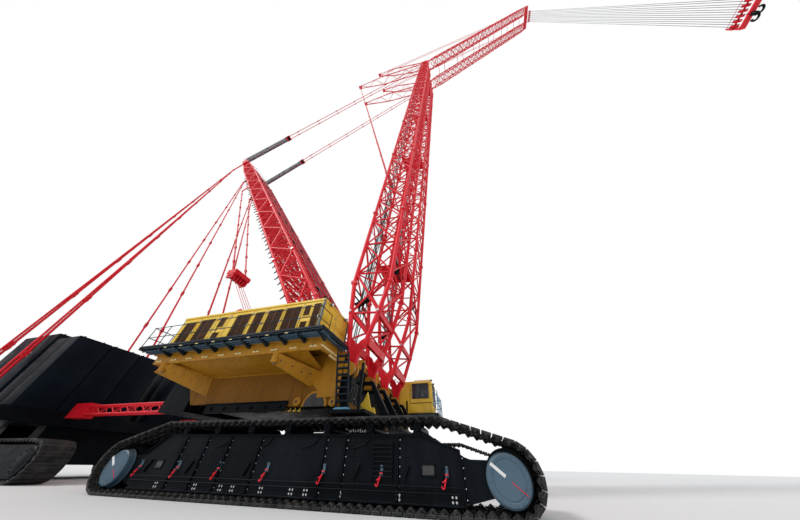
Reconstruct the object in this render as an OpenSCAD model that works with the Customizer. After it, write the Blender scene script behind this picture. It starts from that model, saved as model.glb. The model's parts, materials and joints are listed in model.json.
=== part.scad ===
// Twin-boom crawler crane with a derrick mast, twin luffing jibs and a tracked ballast carrier, at 1:10.
// Origin on the ground under the slewing axis, X forwards, Y to the left, Z up.

/* [Crawlers] */
// overall length of a crawler over its shoes
crawler_l = 1640; // [1500:10:1800]
// height over the top shoes
crawler_h = 222; // [210:1:240]
// overall width over both crawlers
crawler_w = 1260; // [1200:5:1360]
// width of one shoe
shoe_w = 200; // [180:1:220]
// number of shoes in one crane crawler
shoe_n = 68; // [56:1:76]
// length of the flat top run
top_run_l = 1090; // [1000:10:1180]
// radius of the round end covers
cover_r = 52; // [44:1:60]

/* [Superstructure] */
// height of the deck above the ground
deck_z = 555; // [545:1:580]
// deck length behind the slewing axis
deck_back = 1050; // [1020:5:1100]
// machinery house length
house_l = 980; // [900:5:1000]
// machinery house height
house_h = 207; // [190:1:230]
// outer face of the machinery house from the centre
house_y = 610; // [590:1:640]
// height of the handrails
rail_h = 115; // [100:1:125]
// cab length
cab_l = 270; // [240:1:285]
// cab height
cab_h = 220; // [200:1:240]

/* [Main boom] */
// main boom length from its feet to the head
boom_l = 9400; // [9000:50:9800]
// angle of the main boom above the horizontal
boom_a = 84.2; // [82:0.1:85]
// distance between the two side faces of one boom
boom_w = 276; // [250:1:290]
// depth of the boom lattice
boom_h = 260; // [230:1:280]
// bays in the boom lattice
boom_n = 30; // [20:1:34]
// diameter of the boom chords
chord_d = 28; // [24:1:32]
// diameter of the boom lacing
lace_d = 12; // [9:1:14]

/* [Jib and mast] */
// luffing jib length
jib_l = 8000; // [7600:50:8400]
// angle of the jib above the horizontal
jib_a = 50.2; // [48:0.1:54]
// jib lattice width and depth
jib_w = 236; // [210:1:250]
// bays in the jib lattice
jib_n = 28; // [20:1:32]
// mast length
mast_l = 5600; // [5400:50:5800]
// angle of the mast above the horizontal in front
mast_a = 125.6; // [124:0.1:127]
// width of the mast lattice
mast_w = 570; // [540:2:576]
// depth of the mast lattice
mast_h = 200; // [170:1:220]
// bays in the mast lattice
mast_n = 20; // [14:1:24]
// length of the hoist ropes
rope_l = 9900; // [9500:50:10100]

/* [Ballast] */
// front face of the ballast stacks behind the slewing axis
ballast_x = 1860; // [1840:5:1950]
// height of one ballast slab
slab_h = 46; // [40:1:50]
// slabs in a front stack
slab_n = 9; // [6:1:10]
// width of one ballast stack
stack_w = 186; // [160:1:190]

/* [Hidden] */

// crawler geometry
end_r = 82;
top_r = 45;
shoe_t = 18;
groove_t = 7;
xe = crawler_l / 2 - end_r;
xt = top_run_l / 2;
track_y = (crawler_w - shoe_w) / 2;
plate_o = crawler_w / 2 - 18;
plate_i = crawler_w / 2 - shoe_w + 18;
plate_t = 12;
frame_x = xe - 90;
frame_top = crawler_h - 46;

// superstructure
deck_b = deck_z - 45;
ring_z = 242;
hull_y = 400;
house_i = 330;
house_x0 = -house_l;
boom_x = 107;
boom_z = 453;
boom_yc = 262;
mast_x = -140;
mast_z = deck_z + 34;
cab_x = 120;
cab_y = 436;
cab_w = 160;
cab_z = 385;

foot_ys = [boom_yc - boom_w / 2, boom_yc + boom_w / 2];
jib_ys = [boom_yc - jib_w / 2, boom_yc + jib_w / 2];
foot_s = 330;
head_d = 130;
stay_s = 2060;

// places on the boom head, along and behind the boom, and in the world
pin_s = 40;
pin_d = 95;
head_x = boom_x + boom_l * cos(boom_a);
head_z = boom_z + boom_l * sin(boom_a);
jib_x = head_x + pin_s * cos(boom_a) + pin_d * sin(boom_a);
jib_z = head_z + pin_s * sin(boom_a) - pin_d * cos(boom_a);
sheave_r = 54;
rope_d = 8;
rope_x = sheave_r + rope_d / 2 + 0.3;
sheave_e = 100;
tip_x = jib_x + jib_l * cos(jib_a) + sheave_e * sin(jib_a);
tip_z = jib_z + jib_l * sin(jib_a) - sheave_e * cos(jib_a);
mhead_x = mast_x + mast_l * cos(mast_a);
mhead_z = mast_z + mast_l * sin(mast_a);

// colours
red = [0.80, 0.07, 0.10];
yellow = [0.90, 0.70, 0.12];
ochre = [0.78, 0.50, 0.10];
black = [0.05, 0.06, 0.08];
slate = [0.28, 0.36, 0.42];
teal = [0.10, 0.20, 0.26];
brown = [0.25, 0.16, 0.10];
steel = [0.45, 0.47, 0.50];

module bar(a, b, d, fn = 20) {
    v = b - a;
    l = norm(v);
    translate(a)
        rotate([0, acos(v[2] / l), atan2(v[1], v[0])])
            cylinder(d = d, h = l, $fn = fn);
}

module slab(x0, x1, y0, y1, z0, z1) {
    translate([x0, y0, z0]) cube([x1 - x0, y1 - y0, z1 - z0]);
}

module both() {
    children();
    mirror([0, 1, 0]) children();
}

module ycyl(x, y0, y1, z, r) {
    translate([x, y1, z]) rotate([90, 0, 0]) cylinder(r = r, h = y1 - y0, $fn = 40);
}

// polygon in X and Z, drawn out between y0 and y1
module side(points, y0, y1) {
    translate([0, y1, 0]) rotate([90, 0, 0]) linear_extrude(y1 - y0) polygon(points);
}

// half of a closed track: lengths of its straight and curved runs
function run_phi(xa, ra, xb, rb, h) = atan2(h - rb - ra, xb - xa);
function run_d(xa, ra, xb, rb, h) = norm([xb - xa, h - rb - ra]);
function run_a(xa, ra, xb, rb, h) =
    run_phi(xa, ra, xb, rb, h) - acos((ra - rb) / run_d(xa, ra, xb, rb, h));

// point of the loop at the distance s from the middle of the bottom run, moved out by o
function loop_half(s, xa, ra, xb, rb, h, o) =
    let (a = run_a(xa, ra, xb, rb, h))
    let (d = sqrt(pow(run_d(xa, ra, xb, rb, h), 2) - pow(ra - rb, 2)))
    let (s1 = xa)
    let (s2 = s1 + ra * (a + 90) * PI / 180)
    let (s3 = s2 + d)
    let (s4 = s3 + rb * (90 - a) * PI / 180)
    s <= s1 ? [s, -o]
    : s <= s2 ? let (t = -90 + (s - s1) / ra * 180 / PI)
        [xa + (ra + o) * cos(t), ra + (ra + o) * sin(t)]
    : s <= s3 ? let (q = (s - s2))
        [xa + (ra + o) * cos(a) - q * sin(a), ra + (ra + o) * sin(a) + q * cos(a)]
    : s <= s4 ? let (t = a + (s - s3) / rb * 180 / PI)
        [xb + (rb + o) * cos(t), h - rb + (rb + o) * sin(t)]
    : [xb - (s - s4), h + o];

function half_len(xa, ra, xb, rb, h) =
    let (a = run_a(xa, ra, xb, rb, h))
    let (d = sqrt(pow(run_d(xa, ra, xb, rb, h), 2) - pow(ra - rb, 2)))
    xa + ra * (a + 90) * PI / 180 + d + rb * (90 - a) * PI / 180 + xb;

function loop_at(s, xa, ra, xb, rb, h, o) =
    let (hl = half_len(xa, ra, xb, rb, h))
    s <= hl ? loop_half(s, xa, ra, xb, rb, h, o)
    : let (p = loop_half(2 * hl - s, xa, ra, xb, rb, h, o)) [-p[0], p[1]];

// track loop with its shoes in the outline
module track_loop(xa, ra, xb, rb, h, n, y0, y1) {
    total = 2 * half_len(xa, ra, xb, rb, h);
    p = total / n;
    g = 3.5;
    outer = [for (i = [0:n - 1]) each [
        loop_at(i * p + g, xa, ra, xb, rb, h, -groove_t),
        loop_at(i * p + g, xa, ra, xb, rb, h, 0),
        loop_at((i + 1) * p - g, xa, ra, xb, rb, h, 0),
        loop_at((i + 1) * p - g, xa, ra, xb, rb, h, -groove_t)]];
    inner = [for (i = [0:n - 1]) loop_at((i + 0.5) * p, xa, ra, xb, rb, h, -shoe_t)];
    no = len(outer);
    translate([0, y1, 0]) rotate([90, 0, 0]) linear_extrude(y1 - y0)
        polygon(concat(outer, inner), [[for (i = [0:no - 1]) i], [for (i = [0:n - 1]) no + i]]);
}

// lattice along X between s0 and l with flat ends; t0 and t1 are the tapered ends, h0 and h1 their depths;
// a lug joins the chord pieces where a taper starts
module truss(l, w, h, n, dc, dl, t0, t1, h0, h1, s0 = 0, w1 = 0, fn = 20) {
    function hz(s) = s < t0 ? (h0 + (h - h0) * s / t0) / 2
        : s > l - t1 ? (h1 + (h - h1) * (l - s) / t1) / 2 : h / 2;
    function wy(s) = w1 == 0 || s < l - t1 ? w / 2 : (w1 + (w - w1) * (l - s) / t1) / 2;
    knots = [s0 - 15, t0, l - t1, l + 15];
    p = (l - s0) / n;
    difference() {
        union() {
            for (a = [-1, 1], b = [-1, 1], k = [0:2])
                bar([knots[k], a * wy(knots[k]), b * hz(knots[k])],
                    [knots[k + 1], a * wy(knots[k + 1]), b * hz(knots[k + 1])], dc);
            for (a = [-1, 1], b = [-1, 1], k = [1, 2])
                translate([knots[k], a * wy(knots[k]), b * hz(knots[k])])
                    cube([20, dc + 6, dc + 6], center = true);
            for (i = [0:n - 1]) {
                u = s0 + i * p + 7;
                v = s0 + (i + 1) * p - 7;
                q = i % 2 == 0 ? 1 : -1;
                for (a = [-1, 1]) {
                    bar([u, a * wy(u), -q * (hz(u) - dc / 4)], [v, a * wy(v), q * (hz(v) - dc / 4)],
                        dl, fn);
                    bar([u, -q * (wy(u) - dc / 4), a * hz(u)], [v, q * (wy(v) - dc / 4), a * hz(v)],
                        dl, fn);
                }
            }
        }
        translate([s0 - 60, -w, -h]) cube([60, 2 * w, 2 * h]);
        translate([l, -w, -h]) cube([60, 2 * w, 2 * h]);
    }
}

module boom_place() {
    translate([boom_x, 0, boom_z]) rotate([0, -boom_a, 0]) children();
}

module jib_place() {
    translate([jib_x, 0, jib_z]) rotate([0, -jib_a, 0]) children();
}

module mast_place() {
    translate([mast_x, 0, mast_z]) rotate([0, -mast_a, 0]) children();
}

module side_frames() {
    color(black) both() {
        for (y = [plate_o - plate_t, plate_i]) {
            side([[-frame_x + 20, 26], [frame_x - 20, 26], [xe, 50], [xe, 114], [frame_x - 30, 116],
                [xt - 25, frame_top], [-xt + 25, frame_top], [-frame_x + 30, 116], [-xe, 114],
                [-xe, 50]], y, y + plate_t);
            for (s = [-1, 1]) ycyl(s * xe, y, y + plate_t, end_r, 32);
        }
        side([[-frame_x + 60, 52], [frame_x - 60, 52], [frame_x - 60, 110], [xt - 60, frame_top - 8],
            [-xt + 60, frame_top - 8], [-frame_x + 60, 110]], plate_i + plate_t, plate_o - plate_t);
        for (x = [-xt + 60:(2 * xt - 120) / 6:xt - 59])
            for (y = [plate_o - plate_t, plate_i])
                slab(x - 9, x + 9, y, y + plate_t, frame_top - 4, crawler_h - 26);
    }
}

module carbody() {
    color(black) {
        for (s = [-1, 1])
            slab(s * 180 - 80, s * 180 + 80, -plate_i, plate_i, 70, 190);
        slab(-230, 230, -260, 260, 60, 214);
        translate([0, 0, 60]) cylinder(r = 210, h = 160, $fn = 60);
    }
    color(steel) translate([0, 0, 220]) cylinder(r = 178, h = ring_z - 220, $fn = 60);
}

module track(s) {
    y = s * track_y;
    color(black) track_loop(xe, end_r, xt, top_r, crawler_h, shoe_n, y - shoe_w / 2, y + shoe_w / 2);
}

module track_right() {
    track(-1);
}

module track_left() {
    track(1);
}

module rollers() {
    a = plate_i + plate_t;
    b = plate_o - plate_t;
    color(steel) both() {
        for (x = [-frame_x + 60:(2 * frame_x - 120) / 15:frame_x - 59])
            ycyl(x, a, b, shoe_t + 15, 15);
        for (x = [-xt + 60:(2 * xt - 120) / 6:xt - 59])
            ycyl(x, a, b, crawler_h - shoe_t - 14, 14);
        for (s = [-1, 1]) ycyl(s * xe, a, b, end_r, end_r - shoe_t - 3.5);
    }
}

module wheel_covers() {
    color(slate) both() for (s = [-1, 1]) {
        ycyl(s * xe, plate_o, crawler_w / 2 + 8, end_r, cover_r);
        ycyl(s * xe, crawler_w / 2 + 8, crawler_w / 2 + 12, end_r, cover_r - 12);
    }
}

module crawler_fittings() {
    y = plate_o;
    color(teal) both() {
        for (z = [52, 92]) {
            slab(-frame_x + 30, frame_x - 40, y + 7, y + 11, z, z + 4);
            for (x = [-frame_x + 60:150:frame_x - 60]) slab(x, x + 5, y, y + 8, z, z + 4);
        }
        for (x = [340, 384]) slab(x, x + 4, y, y + 6, 60, frame_top - 16);
        for (z = [70:28:frame_top - 30]) slab(340, 388, y + 1, y + 7, z, z + 4);
        slab(200, 262, y, y + 4, 92, 138);
    }
    color(red) both() for (x = [-600, -480, -330, -150, 60, 290, 520]) {
        slab(x, x + 10, y, y + 14, 66, 84);
        slab(x + 2, x + 8, y + 6, y + 12, 46, 68);
    }
}

// deep main frame between crawlers and deck
module upper_frame() {
    top = deck_z - 14;
    color(steel) translate([0, 0, ring_z + 0.3]) cylinder(r = 176, h = 60, $fn = 60);
    color(ochre) difference() {
        union() {
            side([[-600, 300], [60, 300], [78, 330], [78, top], [-1010, top], [-1010, 480],
                [-860, 390]], -hull_y, hull_y);
            slab(20, 78, -hull_y - 30, hull_y + 30, 400, deck_b);
            both() for (x = [-880, -470])
                side([[x, 400], [x + 60, 330], [x + 260, 330], [x + 320, 420], [x + 320, deck_b],
                    [x - 60, deck_b], [x - 60, 460]], hull_y, hull_y + 16);
            both() for (y = foot_ys) for (s = [-1, 1]) {
                slab(77, boom_x, y + s * 22 - 6, y + s * 22 + 6, boom_z - 34, boom_z + 34);
                ycyl(boom_x, y + s * 22 - 6, y + s * 22 + 6, boom_z, 34);
            }
        }
        both() {
            side([[-560, 316], [40, 316], [40, top - 16], [-960, top - 16], [-850, 404]],
                20, hull_y - 20);
            for (x = [-740, -330]) ycyl(x, hull_y - 1, hull_y + 40, 430, 34);
        }
    }
    color(ochre) both() for (y = foot_ys) ycyl(boom_x, y - 31, y + 31, boom_z, 13);
    // lugs and pins that carry the mast on the deck
    color(ochre) both() {
        for (s = [-18, 18]) {
            slab(mast_x - 30, mast_x + 30, mast_w / 2 + s - 5, mast_w / 2 + s + 5, deck_z, mast_z);
            ycyl(mast_x, mast_w / 2 + s - 5, mast_w / 2 + s + 5, mast_z, 30);
        }
        slab(mast_x - 60, mast_x + 60, mast_w / 2 - 26, mast_w / 2 + 26, deck_z, deck_z + 3);
        ycyl(mast_x, mast_w / 2 - 25, mast_w / 2 + 25, mast_z, 12);
    }
}

// black weights hung under the rear of the frame
module rear_ballast() {
    color(black) {
        side([[-1060, 300], [-870, 300], [-870, 396], [-1010, 480], [-1060, 480]], -hull_y, hull_y);
        for (y = [-200, 0, 200]) slab(-1066, -1059, y - 90, y + 90, 320, 460);
    }
}

module deck() {
    y1 = house_y + 80;
    color(teal) {
        slab(-deck_back, 50, -y1, y1, deck_z - 14, deck_z);
        slab(-deck_back, -deck_back + 6, -y1, y1, deck_b, deck_z);
        both() {
            slab(-deck_back, 50, y1 - 6, y1, deck_b, deck_z);
            slab(44, 50, hull_y + 30, y1, deck_b, deck_z);
            for (x = [-980:40:20]) slab(x, x + 8, hull_y, y1, deck_b, deck_z - 10);
        }
        // platform around the cab
        slab(70, cab_x + cab_l + 40, cab_y - 26, cab_y + cab_w + 50, cab_z - 12, cab_z);
        slab(30, 90, hull_y + 30, cab_y + 60, cab_z - 12, deck_b);
        slab(30, 50, hull_y + 30, cab_y + 60, deck_b - 1, deck_z);
    }
}

module rail_run(a, b, n) {
    for (z = [rail_h / 2, rail_h]) bar(a + [0, 0, z], b + [0, 0, z], 4);
    for (i = [0:n]) {
        q = a + (b - a) * i / n;
        bar(q, q + [0, 0, rail_h], 4);
    }
}

module handrails() {
    y = house_y + 76;
    color(teal) both() {
        rail_run([-deck_back + 4, -y, deck_z], [46, -y, deck_z], 9);
        rail_run([-deck_back + 4, -y, deck_z], [-deck_back + 4, -60, deck_z], 6);
        rail_run([46, -y, deck_z], [46, -house_y + 30, deck_z], 1);
    }
    color([0.35, 0.60, 0.75]) {
        rail_run([cab_x + cab_l + 36, cab_y - 22, cab_z],
            [cab_x + cab_l + 36, cab_y + cab_w + 46, cab_z], 3);
        rail_run([cab_x + 100, cab_y + cab_w + 46, cab_z],
            [cab_x + cab_l + 36, cab_y + cab_w + 46, cab_z], 3);
    }
}

// hollow machinery house, with its louvre openings
louvre_rows = [
    // x from the rear in parts of the length, width, bottom, top
    [0.03, 0.09, 0.16, 0.84], [0.15, 0.11, 0.12, 0.86], [0.30, 0.05, 0.56, 0.86],
    [0.30, 0.05, 0.12, 0.40], [0.42, 0.11, 0.14, 0.86], [0.555, 0.065, 0.12, 0.86],
    [0.645, 0.10, 0.14, 0.86], [0.765, 0.10, 0.14, 0.86], [0.885, 0.04, 0.56, 0.86],
    [0.885, 0.04, 0.12, 0.40], [0.94, 0.045, 0.12, 0.88]];

module house_shell(x0, x1, holes) {
    t = 6;
    difference() {
        slab(x0, x1, house_i, house_y, deck_z, deck_z + house_h);
        slab(x0 + t, x1 - t, house_i + t, house_y - t, deck_z + t, deck_z + house_h - t);
        if (holes)
            for (r = louvre_rows)
                slab(x0 + r[0] * (x1 - x0), x0 + (r[0] + r[1]) * (x1 - x0), house_y - t - 1,
                    house_y + 1, deck_z + r[2] * house_h, deck_z + r[3] * house_h);
    }
}

module house_right() {
    color(yellow) mirror([0, 1, 0]) {
        house_shell(house_x0, 0, true);
        for (x = [house_x0 + 0.37 * house_l, house_x0 + 0.53 * house_l])
            slab(x, x + 5, house_y, house_y + 3, deck_z, deck_z + house_h - 12);
        slab(-1, 3, house_i + 12, house_y - 12, deck_z + house_h / 2, deck_z + house_h / 2 + 5);
        slab(-1, 3, (house_i + house_y) / 2, (house_i + house_y) / 2 + 5, deck_z, deck_z + house_h - 10);
    }
}

module louvres() {
    color(brown) mirror([0, 1, 0]) for (r = louvre_rows) {
        a = house_x0 + r[0] * house_l;
        b = a + r[1] * house_l;
        z0 = deck_z + r[2] * house_h;
        z1 = deck_z + r[3] * house_h;
        m = max(3, round((z1 - z0) / 14));
        for (x = [a, b - 3]) slab(x, x + 3, house_y - 6, house_y + 1, z0, z1);
        for (i = [0:m - 1])
            slab(a, b, house_y - 6, house_y, z0 + i * (z1 - z0) / m, z0 + (i + 0.62) * (z1 - z0) / m);
    }
}

module house_left() {
    color(yellow) {
        house_shell(house_x0, -160, false);
        for (x = [house_x0 + 120:160:-200])
            slab(x, x + 110, house_y, house_y + 3, deck_z + 30, deck_z + house_h - 30);
    }
}

module engine_block() {
    color(steel)
        slab(house_x0 + 150, house_x0 + 560, 60 - house_y, -house_i - 40, deck_z + 6, deck_z + 140);
}

module ladder() {
    y = house_y - 30;
    color(teal) {
        for (s = [-18, 18]) {
            slab(50, 62, -y + s - 3, -y + s + 3, deck_z - 24, deck_z - 16);
            bar([56, -y + s, deck_z - 14], [150, -y + s, 262], 6);
        }
        for (i = [1:9])
            bar([56 + 9.4 * i, -y - 18, deck_z - 14 - 27.9 * i],
                [56 + 9.4 * i, -y + 18, deck_z - 14 - 27.9 * i], 5);
    }
}

module winches() {
    for (x = [-420, -620, -820]) {
        color(yellow) both() side([[x - 50, deck_z], [x + 50, deck_z], [x + 30, deck_z + 100],
            [x - 30, deck_z + 100]], 190, 204);
        color(steel) ycyl(x, -190, 190, deck_z + 76, 46);
        color(steel) for (s = [-1, 1]) ycyl(x, s * 180 - 8, s * 180 + 8, deck_z + 76, 66);
    }
}

// red gantry on the rear of the deck
gantry_x = -1010;
gantry_z = 1060;
module gantry() {
    color(red) difference() {
        both() {
            bar([-955, 240, deck_z - 20], [gantry_x - 180, 160, gantry_z], 34);
            bar([-690, 240, deck_z - 20], [gantry_x - 180, 160, gantry_z], 26);
        }
        slab(-1040, -600, -300, 300, deck_z - 60, deck_z);
    }
    color(red) {
        both() side([[gantry_x - 250, gantry_z - 50], [gantry_x - 130, gantry_z - 60],
            [gantry_x - 110, gantry_z + 20], [gantry_x - 190, gantry_z + 60],
            [gantry_x - 250, gantry_z + 30]], 140, 172);
        ycyl(gantry_x - 180, -160, 160, gantry_z, 16);
    }
    color(black) for (y = [-60:40:60]) ycyl(gantry_x - 180, y - 12, y + 12, gantry_z, 42);
}

block_x = -1750;
block_z = 1690;
luff_s = mast_l - 1080;
luff_d = 330;
luff_r = 12;
yoke_s = mast_l - 145;
yoke_d = 300;
yoke_r = 16;

// a point given along and behind the mast
function on_mast(s, d) = [mast_x + s * cos(mast_a) - d * sin(mast_a), 0,
    mast_z + s * sin(mast_a) + d * cos(mast_a)];

// unit vector from a to b
function unit(a, b) = (b - a) / norm(b - a);

module luffing_block() {
    top = on_mast(luff_s, luff_d);
    low = [block_x, 0, block_z + 30];
    head = [gantry_x - 180, 0, gantry_z];
    axle = [block_x, 0, block_z - 12];
    color(red) {
        slab(block_x - 60, block_x + 60, -110, 110, block_z + 10, block_z + 60);
        both() side([[block_x - 60, block_z + 60], [block_x - 40, block_z - 50],
            [block_x + 40, block_z - 50], [block_x + 60, block_z + 60]], 84, 104);
        ycyl(block_x, -104, 104, block_z - 12, 14);
        // the bars end at the bracket on the mast
        both() translate([0, 96, 0]) bar(low, top - (luff_r + 0.3) * unit(low, top), 12);
    }
    color(black) for (y = [-60:40:60]) {
        ycyl(block_x, y - 12, y + 12, block_z - 12, 38);
        // the ropes end at the rims of the gantry's sheaves
        translate([0, y, 0]) bar(axle, head - 42.3 * unit(axle, head), 5);
    }
}

module cab_cut(m) {
    // right, left, front and rear windows
    for (y = [cab_y - 1, cab_y + cab_w - 7])
        slab(cab_x + 110, cab_x + cab_l - 26, y, y + 8, cab_z + 96, cab_z + cab_h - 18);
    slab(cab_x + cab_l - 8, cab_x + cab_l + 1, cab_y + 14, cab_y + cab_w - 14,
        cab_z + 50, cab_z + cab_h - 18);
}

module cab_body() {
    t = 6;
    color(yellow) difference() {
        union() {
            slab(cab_x, cab_x + cab_l, cab_y, cab_y + cab_w, cab_z, cab_z + cab_h);
            slab(cab_x + 40, cab_x + cab_l - 60, cab_y + 30, cab_y + cab_w - 30,
                cab_z + cab_h - 2, cab_z + cab_h + 10);
        }
        slab(cab_x + t, cab_x + cab_l - t, cab_y + t, cab_y + cab_w - t, cab_z + t,
            cab_z + cab_h - t);
        cab_cut(0);
        slab(cab_x + 20, cab_x + 96, cab_y + cab_w - t - 1, cab_y + cab_w + 1, cab_z + 12,
            cab_z + cab_h - 18);
    }
}

module cab_glass() {
    color([0.55, 0.70, 0.78, 0.4]) {
        for (y = [cab_y + 1.5, cab_y + cab_w - 4.5])
            slab(cab_x + 110, cab_x + cab_l - 26, y, y + 3, cab_z + 96, cab_z + cab_h - 18);
        slab(cab_x + cab_l - 4.5, cab_x + cab_l - 1.5, cab_y + 14, cab_y + cab_w - 14,
            cab_z + 50, cab_z + cab_h - 18);
    }
}

module cab_seat() {
    color(black) {
        slab(cab_x + 110, cab_x + 175, cab_y + 50, cab_y + 110, cab_z + 6, cab_z + 56);
        slab(cab_x + 100, cab_x + 118, cab_y + 50, cab_y + 110, cab_z + 6, cab_z + 126);
        slab(cab_x + 205, cab_x + 250, cab_y + 30, cab_y + 130, cab_z + 6, cab_z + 40);
    }
}

module cab_door() {
    color(yellow) difference() {
        slab(cab_x + 20.3, cab_x + 95.7, cab_y + cab_w - 5, cab_y + cab_w, cab_z + 12.3,
            cab_z + cab_h - 18.3);
        slab(cab_x + 33, cab_x + 83, cab_y + cab_w - 6, cab_y + cab_w + 1, cab_z + 96,
            cab_z + cab_h - 32);
    }
    color(black) ycyl(cab_x + 86, cab_y + cab_w - 1, cab_y + cab_w + 6, cab_z + 84, 3);
}

module one_boom(s) {
    color(red) boom_place() translate([0, s * boom_yc, 0]) {
        truss(boom_l - head_d, boom_w, boom_h, boom_n, chord_d, lace_d, 550, 500, 60, 190, foot_s);
        bar([stay_s, -boom_w / 2, boom_h / 2], [stay_s, boom_w / 2, boom_h / 2], 20);
    }
}

module boom_right() {
    one_boom(-1);
}

module boom_left() {
    one_boom(1);
}

module boom_feet() {
    color(red) boom_place() for (c = [-boom_yc, boom_yc]) {
        for (s = [-1, 1]) {
            y = c + s * boom_w / 2;
            difference() {
                union() {
                    side([[-14, -24], [110, -28], [240, -80], [foot_s, -98], [foot_s, 98],
                        [240, 80], [110, 28], [-14, 24]], y - 12, y + 12);
                    ycyl(0, y - 14, y + 14, 0, 28);
                }
                ycyl(0, y - 20, y + 20, 0, 13.3);
            }
        }
        slab(125, 200, c - boom_w / 2, c + boom_w / 2, -30, 30);
    }
}

// frames that join the two booms, ending on the inner chords
tie_ss = [930, 3060, 5190, 7320];
module boom_ties() {
    y = boom_yc - boom_w / 2 - chord_d / 2;
    color(red) boom_place() for (x = tie_ss) {
        for (u = [-45, 45], z = [-boom_h / 2, boom_h / 2]) bar([x + u, -y, z], [x + u, y, z], 14);
        for (s = [-1, 1]) slab(x - 40, x + 40, s * (y - 30) - 5, s * (y - 30) + 5,
            -boom_h / 2 - 4, boom_h / 2 + 4);
        slab(x - 4, x + 4, -y + 30, y - 30, -boom_h / 2 - 4, boom_h / 2 + 4);
    }
}

// head of the two booms, with the lugs of the jib and the faces that carry struts and stays
module boom_head() {
    y1 = boom_yc + boom_w / 2 + 20;
    s0 = boom_l - head_d;
    color(red) boom_place() {
        slab(s0, boom_l + 40, -y1, y1, -60, 60);
        for (y = foot_ys) both() side([[s0, -112], [boom_l - 10, -112], [boom_l + 20, -60],
            [boom_l + 20, 60], [boom_l, 115], [s0, 115]], y - 10, y + 10);
        slab(s0, boom_l, -y1, y1, 60, 115);
        for (y = jib_ys) both() for (s = [-1, 1]) {
            side([[boom_l + pin_s - 26, -59], [boom_l + pin_s - 26, -pin_d], [boom_l + pin_s, -pin_d],
                [boom_l + pin_s, -59]], y + s * 20 - 5, y + s * 20 + 5);
            ycyl(boom_l + pin_s, y + s * 20 - 5, y + s * 20 + 5, -pin_d, 26);
        }
        for (y = jib_ys) both() ycyl(boom_l + pin_s, y - 27, y + 27, -pin_d, 11);
    }
}

// a point given along and behind the boom
function on_boom(s, d) = [boom_x + s * cos(boom_a) - d * sin(boom_a), 0,
    boom_z + s * sin(boom_a) + d * cos(boom_a)];

// main stays between mast head and boom head: rope falls, blocks and bars
module boom_stays() {
    // the bars end on the rear face of the boom head, at an angle to it
    b = on_boom(boom_l - 112, 115 + 8);
    v = b - [mhead_x, 0, mhead_z];
    r = mhead_r + 4 + 1.5;
    // the ropes leave the mast sheaves as a tangent
    t = atan2(v[2], v[0]) + asin(r / norm(v));
    u = [cos(t), 0, sin(t)];
    a = [mhead_x, 0, mhead_z] + r * [-sin(t), 0, cos(t)];
    l = norm(v) * cos(asin(r / norm(v)));
    c = a + u * 1150;
    for (s = [-1, 1]) translate([0, s * 300, 0]) {
        color(black) for (k = [-30:20:30]) bar(a + [0, k, 0], c + [0, k, 0], 8);
        color(red) translate(c) rotate([0, -t, 0]) translate([-10, -48, -26]) cube([90, 96, 52]);
        color(red) for (k = [-30, 30]) bar(c + u * 60 + [0, k, 0], a + u * (l - 1) + [0, k, 0], 10);
    }
}

mhead_r = 55;
// tip of the rear struts and seat of their bars, along and behind the boom
strut_s = boom_l + 260;
strut_d = 2450;
strut_a = atan2(strut_d, strut_s - boom_l + 60);
module rear_struts() {
    l = norm([strut_s - boom_l + 60, strut_d]);
    q = on_boom(strut_s, strut_d);
    color(red) for (s = [-1, 1]) boom_place() {
        translate([boom_l - 60, s * boom_yc, 0]) rotate([0, -strut_a, 0]) {
            truss(l - 60, 220, 90, 8, 14, 8, 300, 900, 30, 50, 122, 70, 16);
            slab(l - 62, l, -46, 46, -30, 30);
        }
        for (y = [s * boom_yc - 110, s * boom_yc + 110])
            slab(boom_l - 84, boom_l - 4, y - 12, y + 12, 115, 130);
    }
    color(black) for (s = [-1, 1]) ycyl(q[0], s * boom_yc - 50, s * boom_yc + 50, q[2], 46);
}

// bars from the rear struts down to the rear face of the boom
module strut_pendants() {
    q = on_boom(strut_s, strut_d);
    e = on_boom(stay_s, boom_h / 2 + 17);
    u = unit(e, q);
    color(red) for (s = [-1, 1], k = [-36, 36]) translate([0, s * boom_yc + k, 0])
        bar(e, q - 46.3 * u, 10);
    color(red) boom_place() for (s = [-1, 1])
        slab(stay_s - 12, stay_s + 12, s * boom_yc - 46, s * boom_yc + 46, boom_h / 2 + 10,
            boom_h / 2 + 26);
}

module jibs() {
    w = jib_w / 2;
    color(red) jib_place() {
        for (s = [-1, 1]) translate([0, s * boom_yc, 0]) {
            truss(jib_l - 230, jib_w, jib_w, jib_n, 24, 11, 500, 700, 60, 60, 100, 0, 6);
            for (k = [-1, 1]) difference() {
                union() {
                    side([[0, -24], [90, -42], [150, -50], [150, 50], [90, 42], [0, 24]],
                        k * w - 9, k * w + 9);
                    ycyl(0, k * w - 11, k * w + 11, 0, 26);
                }
                ycyl(0, k * w - 20, k * w + 20, 0, 11.3);
            }
        }
        for (x = [700:(jib_l - 1900) / 5:jib_l - 1190], z = [-w, w])
            bar([x, w - boom_yc, z], [x, boom_yc - w, z], 16);
    }
}

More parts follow.
